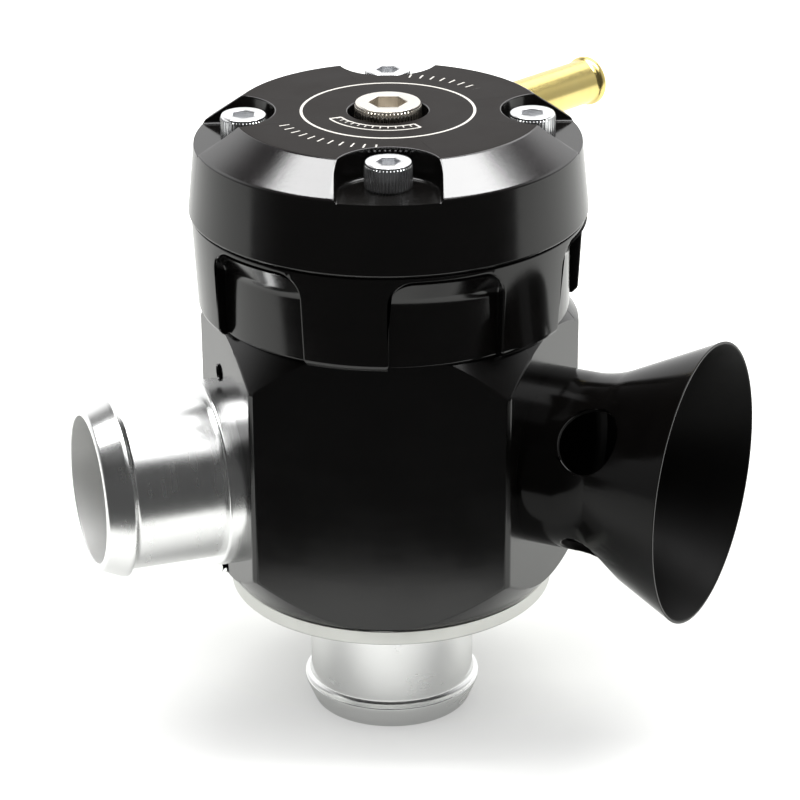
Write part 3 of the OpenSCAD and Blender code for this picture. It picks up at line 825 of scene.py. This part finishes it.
@dataclass
class ValveBody:
    """The milled and turned body that everything else is fixed to.

    A hole is given by its radius and depth, a groove by where it starts and ends and how deep it is.
    """

    low: float = level("main_body", False)
    neck_top: float = level("main_body", True)
    corner: tuple[float, float] = (19.02, -25.0)
    back: float = 28.8
    back_end: float = 0.80
    blank: float = 31.1
    end: float = 25.0
    cone: float = 7.6
    neck: float = 17.0
    neck_chamfer: float = 0.4
    bore: float = 14.55
    counterbore: float = 17.99
    counterbore_deep: float = 4.0
    face: float = 27.0
    passage: float = 10.5
    passage_from: float = 8.0
    port_thread: float = 12.44
    port_seat: float = 18.7
    port_seal: float = 13.24
    port_seal_deep: float = 0.8
    bracket: tuple[float, float] = (1.25, 8.0)
    bracket_rise: float = 16.2
    screw_hole: tuple[float, float] = (1.54, 4.6)
    stop_hole: tuple[float, float] = (1.29, 6.0)
    stop_circle: float = 20.3
    seal_groove: tuple[float, float, float] = (2.36, 3.64, 1.2)
    clip_groove: tuple[float, float, float] = (1.9, 0.75, 0.9)

    def build(self, shop: Workshop, looks: Finishes) -> None:
        """Makes the body.

        Args:
            shop: What finishes pieces.
            looks: The finishes.
        """
        top = 2 * TRUMPET.height - self.low
        lean = math.degrees(math.asin(self.back_end / self.back))
        x, y = self.corner
        bm = plate(0, self.back, -lean, 180 + 2 * lean, ((-x, y), (x, y)), self.low - OVERRUN, top + OVERRUN,
                   steps=128)
        deep = self.low + self.counterbore_deep
        lathe = Outline().path((self.counterbore, self.low), (self.end, self.low, 0.3))
        lathe.path((self.blank, self.low + self.cone, 0.4), (self.blank, top - self.cone, 0.4))
        lathe.path((self.end, top, 0.3), (self.bore, top), (self.bore, deep), (self.counterbore, deep))
        bm = against(against(bm, lathe.turned(256), Cut.COMMON), self.holes(top))
        bm = soften(bm, 0.12, self.on_face, least=50)
        bm = soften(bm, 0.3, lambda at: math.hypot(at.x, at.y) > self.end and not self.on_face(at)
                    and self.low + 0.05 < at.z < top - 0.05, least=18)
        shop.hand_over(joined(bm, self.neck_ring(top)), "main_body", Body.VALVE, Slot.BLACK, (looks.milled,))

    def holes(self, top: float) -> bmesh.types.BMesh:
        """Cutters for the ports and for the bracket's, the flange's and the stop pin's holes.

        Args:
            top: Height of the body's shoulder in mm.

        Returns:
            The cutters as one mesh in mm.
        """
        seal = self.face - self.port_seal_deep
        port = Outline().path((0, self.passage_from), (self.passage, self.passage_from))
        port.path((self.passage, self.port_seat), (self.port_thread, self.port_seat))
        port.path((self.port_thread, seal), (self.port_seal, seal), (self.port_seal, CLEAR), (0, CLEAR))
        (bracket, deep), (screw, tapped), (pin, sunk) = self.bracket, self.screw_hole, self.stop_hole
        rises = (-self.bracket_rise, self.bracket_rise)
        return joined(copies(port.turned(128), [side.place() for side in PORTS]),
                      copies(rod(bracket, self.face - deep, CLEAR, 48), map(RECIRC.place, rises)),
                      copies(rod(screw, self.low - OVERRUN, self.low + tapped, 32), FLANGE_SCREWS),
                      copies(rod(pin, top - sunk, top + OVERRUN, 32), around(1, 90, self.stop_circle)))

    def neck_ring(self, foot: float) -> bmesh.types.BMesh:
        """The neck that the head turns on, with its seal and circlip grooves.

        Args:
            foot: Height of the body's shoulder in mm.

        Returns:
            A closed mesh in mm.
        """
        r, end, chamfer = self.neck, self.neck_top, self.neck_chamfer
        line = Outline().path((self.bore, foot), (r, foot))
        start, stop, deep = self.seal_groove
        line.groove(r, r - deep, foot + start, foot + stop)
        start, stop, deep = self.clip_groove
        line.groove(r, r - deep, end - start, end - stop)
        return line.path((r, end - chamfer), (r - chamfer, end), (self.bore, end)).turned(160)

    def on_face(self, at: Vector) -> bool:
        """Tells whether a point lies on the outer face of a port.

        Args:
            at: The point in mm.

        Returns:
            True on the face, its round back left out.
        """
        ways = [Matrix.Rotation(math.radians(port.turn), 3, "Z") @ Vector((1, 0, 0)) for port in PORTS]
        return math.hypot(at.x, at.y) < self.back - 0.5 and any(
            abs(at.dot(way) - self.face) < 0.05 for way in ways)


@dataclass
class Connections:
    """The two bright hose tails and the black trumpet."""

    inlet_top: float = level("main_body", False)
    flange: float = 25.0
    flange_thick: float = 2.4
    flange_root: float = 0.8
    spigot: float = 17.95
    spigot_high: float = 3.6
    spigot_groove: tuple[float, float, float] = (1.01, 2.59, 1.5)
    seat: float = 12.2
    seat_high: float = 4.2
    screw: float = 1.56
    screw_head: float = 3.12
    screw_sunk: float = 1.5
    thread: float = 12.4
    thread_end: float = 19.0
    face: float = 27.0
    collar: float = 14.2
    collar_end: float = 29.8
    recirc_reach: float = 48.0
    neck: float = 13.5
    bore_end: float = 30.2
    flare_from: float = 35.5
    flare_bend: float = 3.0
    lip: float = 51.5
    mouth: float = 21.3
    wall: float = 1.3
    lip_wall: float = 0.5
    vent: float = 5.0
    vents_at: float = 37.4
    vent_span: tuple[float, float] = (9.0, 24.0)
    vent_turns: tuple[float, ...] = (142.0, 232.0, 322.0)

    def build(self, shop: Workshop, looks: Finishes) -> None:
        """Makes the three pieces.

        Args:
            shop: What finishes pieces.
            looks: The finishes.
        """
        self.inlet(shop, looks.bright, looks.brushed_painted_shade)
        self.recirc(shop, looks.bright, looks.bored)
        self.trumpet(shop, looks.deep, looks.matt)

    def inlet(self, shop: Workshop, finish: Finish, rim: Finish) -> None:
        """Makes the flange below the body, with the tail that the valve stands on.

        Args:
            shop: What finishes pieces.
            finish: The finish of all but the rim.
            rim: The finish of the flange's rim, a rougher brushed face whose darker colour paints the shade
                it reflects.
        """
        tail, top = Tail(), self.inlet_top
        low, high = top - self.flange_thick, top + self.spigot_high
        line = tail.draw(lambda s: s, 1).to(tail.tube, low - self.flange_root)
        line.arc(tail.tube + self.flange_root, low - self.flange_root, -90)
        line.path((self.flange, low, 0.3), (self.flange, top, 0.25), (self.spigot, top))
        start, stop, deep = self.spigot_groove
        line.groove(self.spigot, self.spigot - deep, top + start, top + stop)
        line.path((self.spigot, high, 0.4), (self.seat, high), (self.seat, top + self.seat_high))
        line.to(tail.bore, top + self.seat_high)
        sink = rod(self.screw_head, low - 0.06, low + self.screw_sunk, 48, tip=self.screw)
        bm = against(line.turned(224), copies(sink, FLANGE_SCREWS))
        bm = against(bm, copies(rod(self.screw, low + 0.5, top + OVERRUN, 48), FLANGE_SCREWS))
        # The rim faces get the darker rim finish: painted shade on a rougher brushed face.
        paint(tidy(bm, near=0.01), lambda face: int(face.calc_center_median().xy.length > self.flange - 0.35))
        shop.hand_over(bm, "inlet_flange", Body.VALVE, Slot.BRIGHT, (finish, rim))

    def recirc(self, shop: Workshop, finish: Finish, inside: Finish) -> None:
        """Makes the hose tail screwed into the left port.

        Args:
            shop: What finishes pieces.
            finish: The finish outside.
            inside: The finish of the bore.
        """
        tail = Tail()
        line = tail.draw(lambda s: self.recirc_reach - s, -1)
        line.path((tail.tube, self.collar_end), (self.collar, self.collar_end, 0.4), (self.collar, self.face))
        line.path((self.thread, self.face), (self.thread, self.thread_end, 0.4), (tail.bore, self.thread_end))
        bm = line.turned(224)
        paint(bm, lambda face: int(face.calc_center_median().xy.length < tail.bore + 0.05))
        shop.hand_over(bm, "recirc_tail", Body.VALVE, Slot.BRIGHT, (finish, inside), RECIRC.place())

    def trumpet(self, shop: Workshop, finish: Finish, inside: Finish) -> None:
        """Makes the trumpet screwed into the right port, with vents at the start of its flare.

        Args:
            shop: What finishes pieces.
            finish: The finish outside.
            inside: The finish of the faces that look inwards.
        """
        bore, throat = Tail().bore, self.neck - self.wall
        line = Outline().path((bore, self.thread_end), (self.thread, self.thread_end, 0.4))
        line.path((self.thread, self.face), (self.neck, self.face))
        line.path((self.neck, self.flare_from, self.flare_bend), (self.mouth, self.lip))
        line.to(self.mouth - self.lip_wall, self.lip)
        line.path((throat, self.flare_from - 0.3, self.flare_bend), (throat, self.bore_end + 1.0))
        bm = line.to(bore, self.bore_end, 0.5).turned(224)
        lip = [e for e in bm.edges if e.calc_face_angle(0) > 0.7 and e.verts[0].co.z > self.lip - 0.1]
        round_edges(bm, lip, 0.14, 3)
        vent = rod(self.vent, *self.vent_span, 72, place=outward(0, self.vents_at))
        bm = against(bm, copies(vent, [upright(turn=angle) for angle in self.vent_turns]))
        bm = soften(bm, 0.3, lambda at: abs(at.z - self.vents_at) < self.vent + 0.1, 3, 40)
        paint(bm, lambda face: int(face.normal.xy.dot(face.calc_center_median().xy) < 0))
        shop.hand_over(bm, "trumpet", Body.VALVE, Slot.BLACK, (finish, inside), TRUMPET.place())


@dataclass
class SocketScrew:
    """A socket head screw with a knurled head, its head seat at height 0."""

    shank: float
    length: float
    head: float
    rise: float
    hexagon: float
    teeth: int
    facets: int = 4
    knurl: float = 0.3
    chamfer: float = 0.35
    band: float = 0.5
    inset: float = 0.15

    def mesh(self) -> bmesh.types.BMesh:
        """Turns the screw, presses its knurl and sinks its socket.

        Returns:
            A closed mesh in mm.
        """
        band, crown, count = self.rise - self.band, self.head - self.inset, self.teeth * self.facets
        line = Outline().path((0, -self.length), (self.shank, -self.length, 0.3), (self.shank, 0))
        line.path((self.head - self.chamfer, 0), (self.head, self.chamfer), (self.head, band))
        line.path((crown, band + self.inset), (crown, self.rise, 0.18), (0, self.rise))
        bm = line.turned(count)
        for vert in bm.verts:
            facet = round(math.atan2(vert.co.y, vert.co.x) * count / (2 * math.pi)) % self.facets
            if math.hypot(vert.co.x, vert.co.y) > self.head - 0.01 and facet < self.facets / 2:
                vert.co.xy *= 1 - self.knurl / self.head
        bm = against(bm, rod(self.hexagon / math.sqrt(3), self.rise / 2, self.rise + OVERRUN, 6))
        return soften(bm, 0.16, lambda at: at.z > self.rise - 0.05, least=40)


@dataclass
class Head:
    """The turning head: grip ring, cap with its screws, and the vacuum nipple.

    A hole is given by its radius and depth, a groove in the cap by its floor and where it starts and ends.
    """

    turn: float = -86.4
    ring_low: float = level("grip_ring", False)
    cap_low: float = level("grip_ring", True)
    top: float = level("top_cap", True)
    neck_fit: float = 17.05
    skirt: tuple[float, float] = (27.2, 2.4)
    ring_side: tuple[float, float] = (28.9, 29.6)
    ring_foot: float = 0.8
    ring_edge: tuple[float, float] = (0.55, 0.28)
    spigot_fit: tuple[float, float] = (18.9, 4.7)
    clip_room: tuple[float, float] = (18.1, 6.8)
    thread: tuple[float, float] = (2.06, 7.4)
    stop_circle: float = 20.3
    stop_slot: tuple[float, float] = (1.45, 4.4)
    stop_arc: tuple[float, float] = (176.4, 49.1)
    scallops: int = 6
    scallop_turn: float = 17.0
    scallop_wide: float = 17.0
    scallop_floor: float = 27.3
    scallop_rim: float = 1.1
    scallop_ledge: float = 3.6
    scallop_round: float = 3.3
    scallop_out: float = 0.4
    scallop_clear: float = 32.0
    scallop_block: tuple[float, float] = (29.0, 8.0)
    cap_rim: float = 30.0
    rim_chamfer: float = 0.4
    shoulder: tuple[float, float] = (28.9, 4.1)
    crown: float = 23.1
    recess: tuple[float, float] = (6.0, 7.3)
    boss: tuple[float, float] = (7.5, 2.4)
    chamber: float = 15.6
    roof: float = 0.2
    spigot: tuple[float, float] = (18.86, 3.1)
    spigot_groove: tuple[float, float, float] = (17.36, 2.34, 0.76)
    preload_fit: float = 3.05
    preload_groove: tuple[float, float, float] = (4.25, 5.79, 4.51)
    preload_seat: float = 5.1
    pocket: float = 7.7
    pocket_at: float = 24.5
    pocket_deep: float = 4.5
    pocket_out: float = 12.0
    screw_hole: float = 2.2
    screw_circle: float = 21.4
    nipple_turn: float = 135.0
    nipple: float = 3.45
    nipple_bore: float = 1.8
    nipple_from: float = 21.0
    nipple_hole: float = 34.0
    nipple_way: tuple[float, float] = (10.0, 25.0)
    nipple_reach: float = 45.0
    nipple_bead: float = 0.4
    nipple_height: float = middle_of("vacuum_nipple")

    def build(self, shop: Workshop, looks: Finishes) -> None:
        """Makes the head's pieces.

        Args:
            shop: What finishes pieces.
            looks: The finishes.
        """
        place = upright(turn=self.turn)
        shop.hand_over(self.grip_ring(), "grip_ring", Body.HEAD, Slot.BLACK, (looks.gloss,), place)
        shop.hand_over(self.cap(), "top_cap", Body.HEAD, Slot.BLACK,
                       (looks.gloss, looks.satin, looks.facet), place)
        screw = SocketScrew(shank=2.0, length=18.0, head=3.5, rise=4.0, hexagon=3.0, teeth=42).mesh()
        seats = [upright(self.pocket_floor()) @ at for at in self.screws()]
        shop.hand_over(copies(screw, seats), "cap_screws", Body.HEAD, Slot.ZINC, (looks.zinc,), place)
        screw = SocketScrew(shank=3.0, length=12.9, head=5.0, rise=6.4, hexagon=5.0, teeth=54).mesh()
        shop.hand_over(screw, "preload_screw", Body.PRELOAD, Slot.NICKEL, (looks.nickel,),
                       upright(self.top - self.preload_seat, self.turn))
        shop.hand_over(self.nipple_mesh(), "vacuum_nipple", Body.HEAD, Slot.GOLD, (looks.gold,),
                       self.nipple_place(self.turn))

    def pocket_floor(self) -> float:
        """Height in mm of the floor that the cap's screws sit on."""
        return self.top - self.pocket_deep

    def screws(self) -> list[Place]:
        """Places of the cap's screws."""
        return around(4, 0.0, self.screw_circle)

    def grip_ring(self) -> bmesh.types.BMesh:
        """The ring below the cap, with finger scallops round it.

        Returns:
            A closed mesh in mm.
        """
        low, top, (foot, side), (cut, drop) = self.ring_low, self.cap_low, self.ring_side, self.ring_edge
        (skirt, step), (fit, seat), (room, end) = self.skirt, self.spigot_fit, self.clip_room
        line = Outline().path((self.neck_fit, low + step), (skirt, low + step), (skirt, low, 0.2))
        line.path((foot - self.ring_foot, low, 0.2), (foot, low + self.ring_foot, 0.4))
        line.path((side, top - drop, 0.1), (side - cut, top), (fit, top), (fit, top - seat))
        line.path((room, top - seat), (room, top - end), (self.neck_fit, top - end))
        bm = against(line.turned(288), tidy(self.scallop_tool(low, top), near=0.01))
        radius, deep = self.thread
        bm = against(bm, copies(rod(radius, top - deep, top + OVERRUN, 48), self.screws()))
        bm = against(bm, tidy(self.stop_groove(low), near=0.001))
        return soften(bm, 0.4, lambda at: math.hypot(at.x, at.y) > self.scallop_floor - 0.02
                      and low + 0.02 < at.z < top - 0.6, 3, 32)

    def scallop_tool(self, low: float, top: float) -> bmesh.types.BMesh:
        """Cutter for the finger scallops.

        Args:
            low: Height of the ring's lower face in mm.
            top: Height of its upper face in mm.

        Returns:
            A closed mesh in mm.
        """
        deep, clear, (out, thick) = self.scallop_floor, self.scallop_clear, self.scallop_block
        edge, foot = top - self.scallop_rim, low - OVERRUN
        over, middle = edge + self.scallop_out, (edge + foot) / 2
        sweep = Outline().path((deep, foot), (deep, edge - self.scallop_ledge, 0.8))
        sweep.path((self.ring_side[1], over), (clear, over), (clear, foot))
        block = bmesh.new()
        bmesh.ops.create_cube(block, size=1, matrix=Matrix.Translation((out, 0, middle))
                              @ Matrix.Diagonal((thick, self.scallop_wide, edge - foot, 1)))
        ends = [e for e in block.edges if min(v.co.z for v in e.verts) > middle
                and abs(e.verts[0].co.y - e.verts[1].co.y) < 0.01]
        round_edges(block, ends, self.scallop_round, 10)
        return against(copies(block, around(self.scallops, self.scallop_turn)), sweep.turned(288), Cut.COMMON)

    def stop_groove(self, low: float) -> bmesh.types.BMesh:
        """Cutter for the arc in which the stop pin runs.

        Args:
            low: Height of the ring's lower face in mm.

        Returns:
            A closed mesh in mm.
        """
        (half, deep), (middle, reach) = self.stop_slot, map(math.radians, self.stop_arc)
        inner, outer = self.stop_circle - half, self.stop_circle + half
        line = Outline().path((inner, low + OVERRUN), (outer, low + OVERRUN), (outer, low + deep))
        groove = line.to(inner, low + deep).turned(180)
        for side in (-1, 1):
            edge = middle + side * reach
            bmesh.ops.bisect_plane(groove, geom=groove.verts[:] + groove.edges[:] + groove.faces[:],
                                   plane_co=(0, 0, 0), clear_outer=True,
                                   plane_no=(-side * math.sin(edge), side * math.cos(edge), 0))
        bmesh.ops.holes_fill(groove, edges=[e for e in groove.edges if e.is_boundary])
        return groove

    def cap(self) -> bmesh.types.BMesh:
        """The cap with a pocket for each screw.

        Returns:
            A closed mesh in mm.
        """
        low, top, deep = self.cap_low, self.top, self.pocket_floor()
        hole = rod(self.nipple + 0.04, self.nipple_from, self.nipple_hole, 64, place=self.nipple_place(0))
        way = rod(self.nipple_bore, *self.nipple_way, 48, place=self.nipple_place(0))
        bm = against(against(self.cap_blank(low, top), hole), way)
        r, at, far = self.pocket, self.pocket_at, self.pocket_at + self.pocket_out
        pocket = plate(at, r, 90, 180, ((far, -r), (far, r)), deep, top + 2 * OVERRUN, steps=48)
        floor = [e for e in pocket.edges if max(v.co.z for v in e.verts) < deep + 0.01]
        round_edges(pocket, floor, 0.5, 3)
        bm = against(bm, copies(pocket, around(4)))
        bm = against(bm, copies(rod(self.screw_hole, low - OVERRUN, top, 48), self.screws()))
        bm = soften(bm, 0.22, lambda v: v.z > deep + 0.02 and math.hypot(v.x, v.y) > 14, least=32)
        return paint(bm, self.cap_finish)

    def cap_blank(self, low: float, top: float) -> bmesh.types.BMesh:
        """The cap as it comes from the lathe.

        Args:
            low: Height of its lower edge in mm.
            top: Height of its top in mm.

        Returns:
            A closed mesh in mm.
        """
        (boss, foot), (spigot, end), fit = self.boss, self.spigot, self.preload_fit
        roof = self.nipple_height + self.nipple_bore + self.roof
        line = Outline().path((fit, low + foot), (boss, low + foot), (boss, roof), (self.chamber, roof))
        line.path((self.chamber, low - end), (spigot, low - end))
        floor, start, stop = self.spigot_groove
        line.groove(spigot, floor, low - start, low - stop)
        line.path((spigot, low), (self.cap_rim - self.rim_chamfer, low))
        (shoulder, slope), (recess, deep) = self.shoulder, self.recess
        line.path((self.cap_rim, low + self.rim_chamfer, 0.15), (shoulder, top - slope, 0.35))
        line.path((self.crown, top, 0.3), (recess, top, 0.25), (recess, top - deep), (fit, top - deep))
        floor, start, stop = self.preload_groove
        return line.groove(fit, floor, low + start, low + stop).turned(288)

    def cap_finish(self, face: bmesh.types.BMFace) -> int:
        """Picks a finish for a face of the cap.

        Args:
            face: The face.

        Returns:
            1 on the flat top, 2 on the slope round it and 0 elsewhere.
        """
        middle = face.calc_center_median()
        if middle.z <= self.pocket_floor() + 0.35 or math.hypot(middle.x, middle.y) <= 5.5:
            return 0
        return 1 if face.normal.z > 0.97 else 2 if face.normal.z > 0.5 else 0

    def nipple_place(self, turn: float) -> Place:
        """The nipple's own frame on a head turned by degrees."""
        return outward(turn + self.nipple_turn, self.nipple_height)

    def nipple_mesh(self) -> bmesh.types.BMesh:
        """The vacuum hose nipple, drawn out from the axis.

        Returns:
            A closed mesh in mm.
        """
        r, bore, start, end = self.nipple, self.nipple_bore, self.nipple_from, self.nipple_reach
        bead = r + self.nipple_bead
        line = Outline().path((bore, start), (r, start), (r, end - 1.7, 0.3), (bead, end - 1.2, 0.25))
        line.path((bead, end - 0.3, 0.25), (r, end, 0.25), (bore + 0.4, end, 0.2), (bore, end - 0.4))
        return line.turned(96)


@dataclass
class Inside:
    """CAD nodes that stay as they are: seals, piston, spring, sleeve and small fasteners."""

    def build(self, shop: Workshop, looks: Finishes) -> None:
        """Gives each its finish.

        Args:
            shop: What finishes pieces.
            looks: The finishes.
        """
        shop.repaint(looks.rubber, "flange_o_ring", "recirc_o_ring", "trumpet_o_ring", "neck_o_ring",
                     "cap_o_ring", "preload_o_ring", "piston_o_rings", "piston_seal")
        shop.repaint(looks.zinc, "flange_screws", "neck_circlip", "stop_pin", "spring_seat")
        shop.repaint(looks.bright, "bias_sleeve", "piston")
        shop.repaint(looks.steel, "piston_spring")


@dataclass(frozen=True)
class SoftBox:
    """A lamp that hangs level overhead, by its power in watts and its size and place in metres."""

    power: float
    size: tuple[float, float]
    place: tuple[float, float, float]

    def hang(self, turn: float) -> None:
        """Hangs the lamp.

        Args:
            turn: Degrees that it is turned by.
        """
        data = bpy.data.lights.new("soft box", "AREA")
        data.shape, (data.size, data.size_y), data.energy = "RECTANGLE", self.size, self.power
        lamp = put("soft box", data)
        lamp.location, lamp.rotation_euler = self.place, (0, 0, math.radians(turn))


@dataclass(frozen=True)
class Studio:
    """Pale floor with painted shade round the valve, white surround, two soft boxes and the camera.

    Places are in metres, lens and sensor in mm, pitch, yaw and roll in radians and turn in degrees.
    """

    distance: float = 0.4515
    height: float = 0.2478
    pitch: float = 0.41181
    yaw: float = 0.0034
    roll: float = -0.00592
    turn: float = 3.6
    lens: float = 144.0
    sensor: float = 36.0
    clip: tuple[float, float] = (0.01, 20.0)
    floor_front: float = -0.09
    floor_reach: float = 0.6
    floor_colour: tuple[float, float, float] = (0.55, 0.555, 0.535)
    # Painted shade: the floor's glow is weaker round a centre behind the valve and rises to full white over a
    # reach, in metres.
    glow_in_painted_shade: float = 0.28
    painted_shade_centre: tuple[float, float, float] = (0.005, 0.045, 0.0)
    painted_shade_reach: tuple[float, float] = (0.03, 0.11)
    mirrored_glow: float = 0.4
    fill: float = 0.2
    gloom: float = 0.06
    wall_glow: float = 1.15
    wall_sides: tuple[float, float] = (-0.75, 0.5)
    wall_tops: tuple[float, float] = (0.42, 0.7)
    lamps: tuple[SoftBox, ...] = (SoftBox(7.5, (1.05, 0.3), (0.05, 0.05, 0.7)),
                                  SoftBox(4.4, (0.65, 1.4), (0.175, 0.27, 0.72)))

    def build(self) -> None:
        """Sets up the view, the light and the floor."""
        bpy.context.scene.view_settings.view_transform = "Standard"
        self.camera()
        for lamp in self.lamps:
            lamp.hang(self.turn)
        self.surround()
        self.floor()

    def camera(self) -> None:
        """Stands the camera where the valve is seen from."""
        ahead = Vector((math.sin(self.yaw) * math.cos(self.pitch), math.cos(self.yaw) * math.cos(self.pitch),
                        -math.sin(self.pitch)))
        right = ahead.cross(Vector((0, 0, 1))).normalized()
        up = right.cross(ahead)
        level_right = math.cos(self.roll) * right + math.sin(self.roll) * up
        level_up = math.cos(self.roll) * up - math.sin(self.roll) * right
        stand = Matrix((level_right, level_up, -ahead)).transposed().to_4x4()
        stand.translation = (0, -self.distance, self.height)
        data = bpy.data.cameras.new("camera")
        data.lens, data.sensor_width = self.lens, self.sensor
        data.clip_start, data.clip_end = self.clip
        camera = put("camera", data)
        camera.matrix_world = Matrix.Rotation(math.radians(self.turn), 4, "Z") @ stand
        bpy.context.scene.camera = camera

    @staticmethod
    def rays(t: Tree) -> tuple[Socket, Socket]:
        """Which rays come from the camera, and which by a mirror or through glass."""
        path = t.add("LightPath").outputs
        return path["Is Camera Ray"], t.math("MAXIMUM", path["Is Glossy Ray"], path["Is Transmission Ray"])

    def surround(self) -> None:
        """Puts up a white surround at the back and sides, open to a dark room in front and above."""
        world = bpy.data.worlds.new("studio")
        bpy.context.scene.world = world
        t = cleared(world)
        way = t.add("TexCoord").outputs["Generated"]
        flat = t.vector("NORMALIZE", t.vector("MULTIPLY", way, (1, 1, 0)))
        angle = math.radians(self.turn)
        front = t.vector("DOT_PRODUCT", flat, (math.sin(angle), -math.cos(angle), 0))
        rise = t.add("SeparateXYZ", {0: way}).outputs["Z"]
        wall = t.math("MULTIPLY", t.ramp(front, *self.wall_sides, self.wall_glow, self.gloom),
                      t.ramp(rise, *self.wall_tops, 1.0, self.gloom))
        direct, mirrored = self.rays(t)
        shown = t.math("MAXIMUM", direct, t.math("MULTIPLY", mirrored, wall))
        unseen = t.math("SUBTRACT", 1.0, t.math("MAXIMUM", direct, mirrored))
        strength = t.math("MULTIPLY_ADD", unseen, self.fill, shown)
        glow = t.add("Background", {"Color": (1, 1, 1, 1), "Strength": strength})
        t.add("OutputWorld", {"Surface": glow.outputs[0]})

    def floor(self) -> None:
        """Lays a pale floor whose glow is weaker round the valve as painted shade, turns white away from it
        and ends just in front of the view.
        """
        bm = bmesh.new()
        bmesh.ops.create_grid(bm, x_segments=1, y_segments=1, size=self.floor_reach)
        bmesh.ops.bisect_plane(bm, geom=bm.verts[:] + bm.edges[:] + bm.faces[:], clear_outer=True,
                               plane_co=(0, self.floor_front, 0), plane_no=(0, -1, 0))
        floor = put("floor", as_mesh(bm, "floor"))
        material = bpy.data.materials.new("pale floor")
        t = cleared(material)
        away = t.vector("DISTANCE", t.add("TexCoord").outputs["Object"], self.painted_shade_centre)
        direct, mirrored = self.rays(t)
        seen = t.math("MAXIMUM", direct, t.math("MULTIPLY", mirrored, self.mirrored_glow))
        # Painted shade: the glow is weaker near the valve and rises to white away from it.
        glow = t.math("MULTIPLY", t.ramp(away, *self.painted_shade_reach, self.glow_in_painted_shade, 1.0), seen)
        paper = t.add("BsdfPrincipled", {"Base Color": self.floor_colour + (1,), "Roughness": 0.9,
                                         "Specular IOR Level": 0.1})
        lit = t.add("Emission", {"Color": (1, 1, 1, 1), "Strength": glow})
        both = t.add("AddShader", {0: paper.outputs[0], 1: lit.outputs[0]})
        t.add("OutputMaterial", {"Surface": both.outputs[0]})
        floor.data.materials.append(material)


def main() -> None:
    """Builds the studio and every part of the valve in order."""
    logging.basicConfig(level=logging.INFO, format="%(name)s: %(message)s")
    looks, shop = Finishes(), Workshop(Effects())
    Studio().build()
    for part in (ValveBody(), Connections(), Head(), Inside()):
        part.build(shop, looks)


if __name__ == "__main__":
    main()
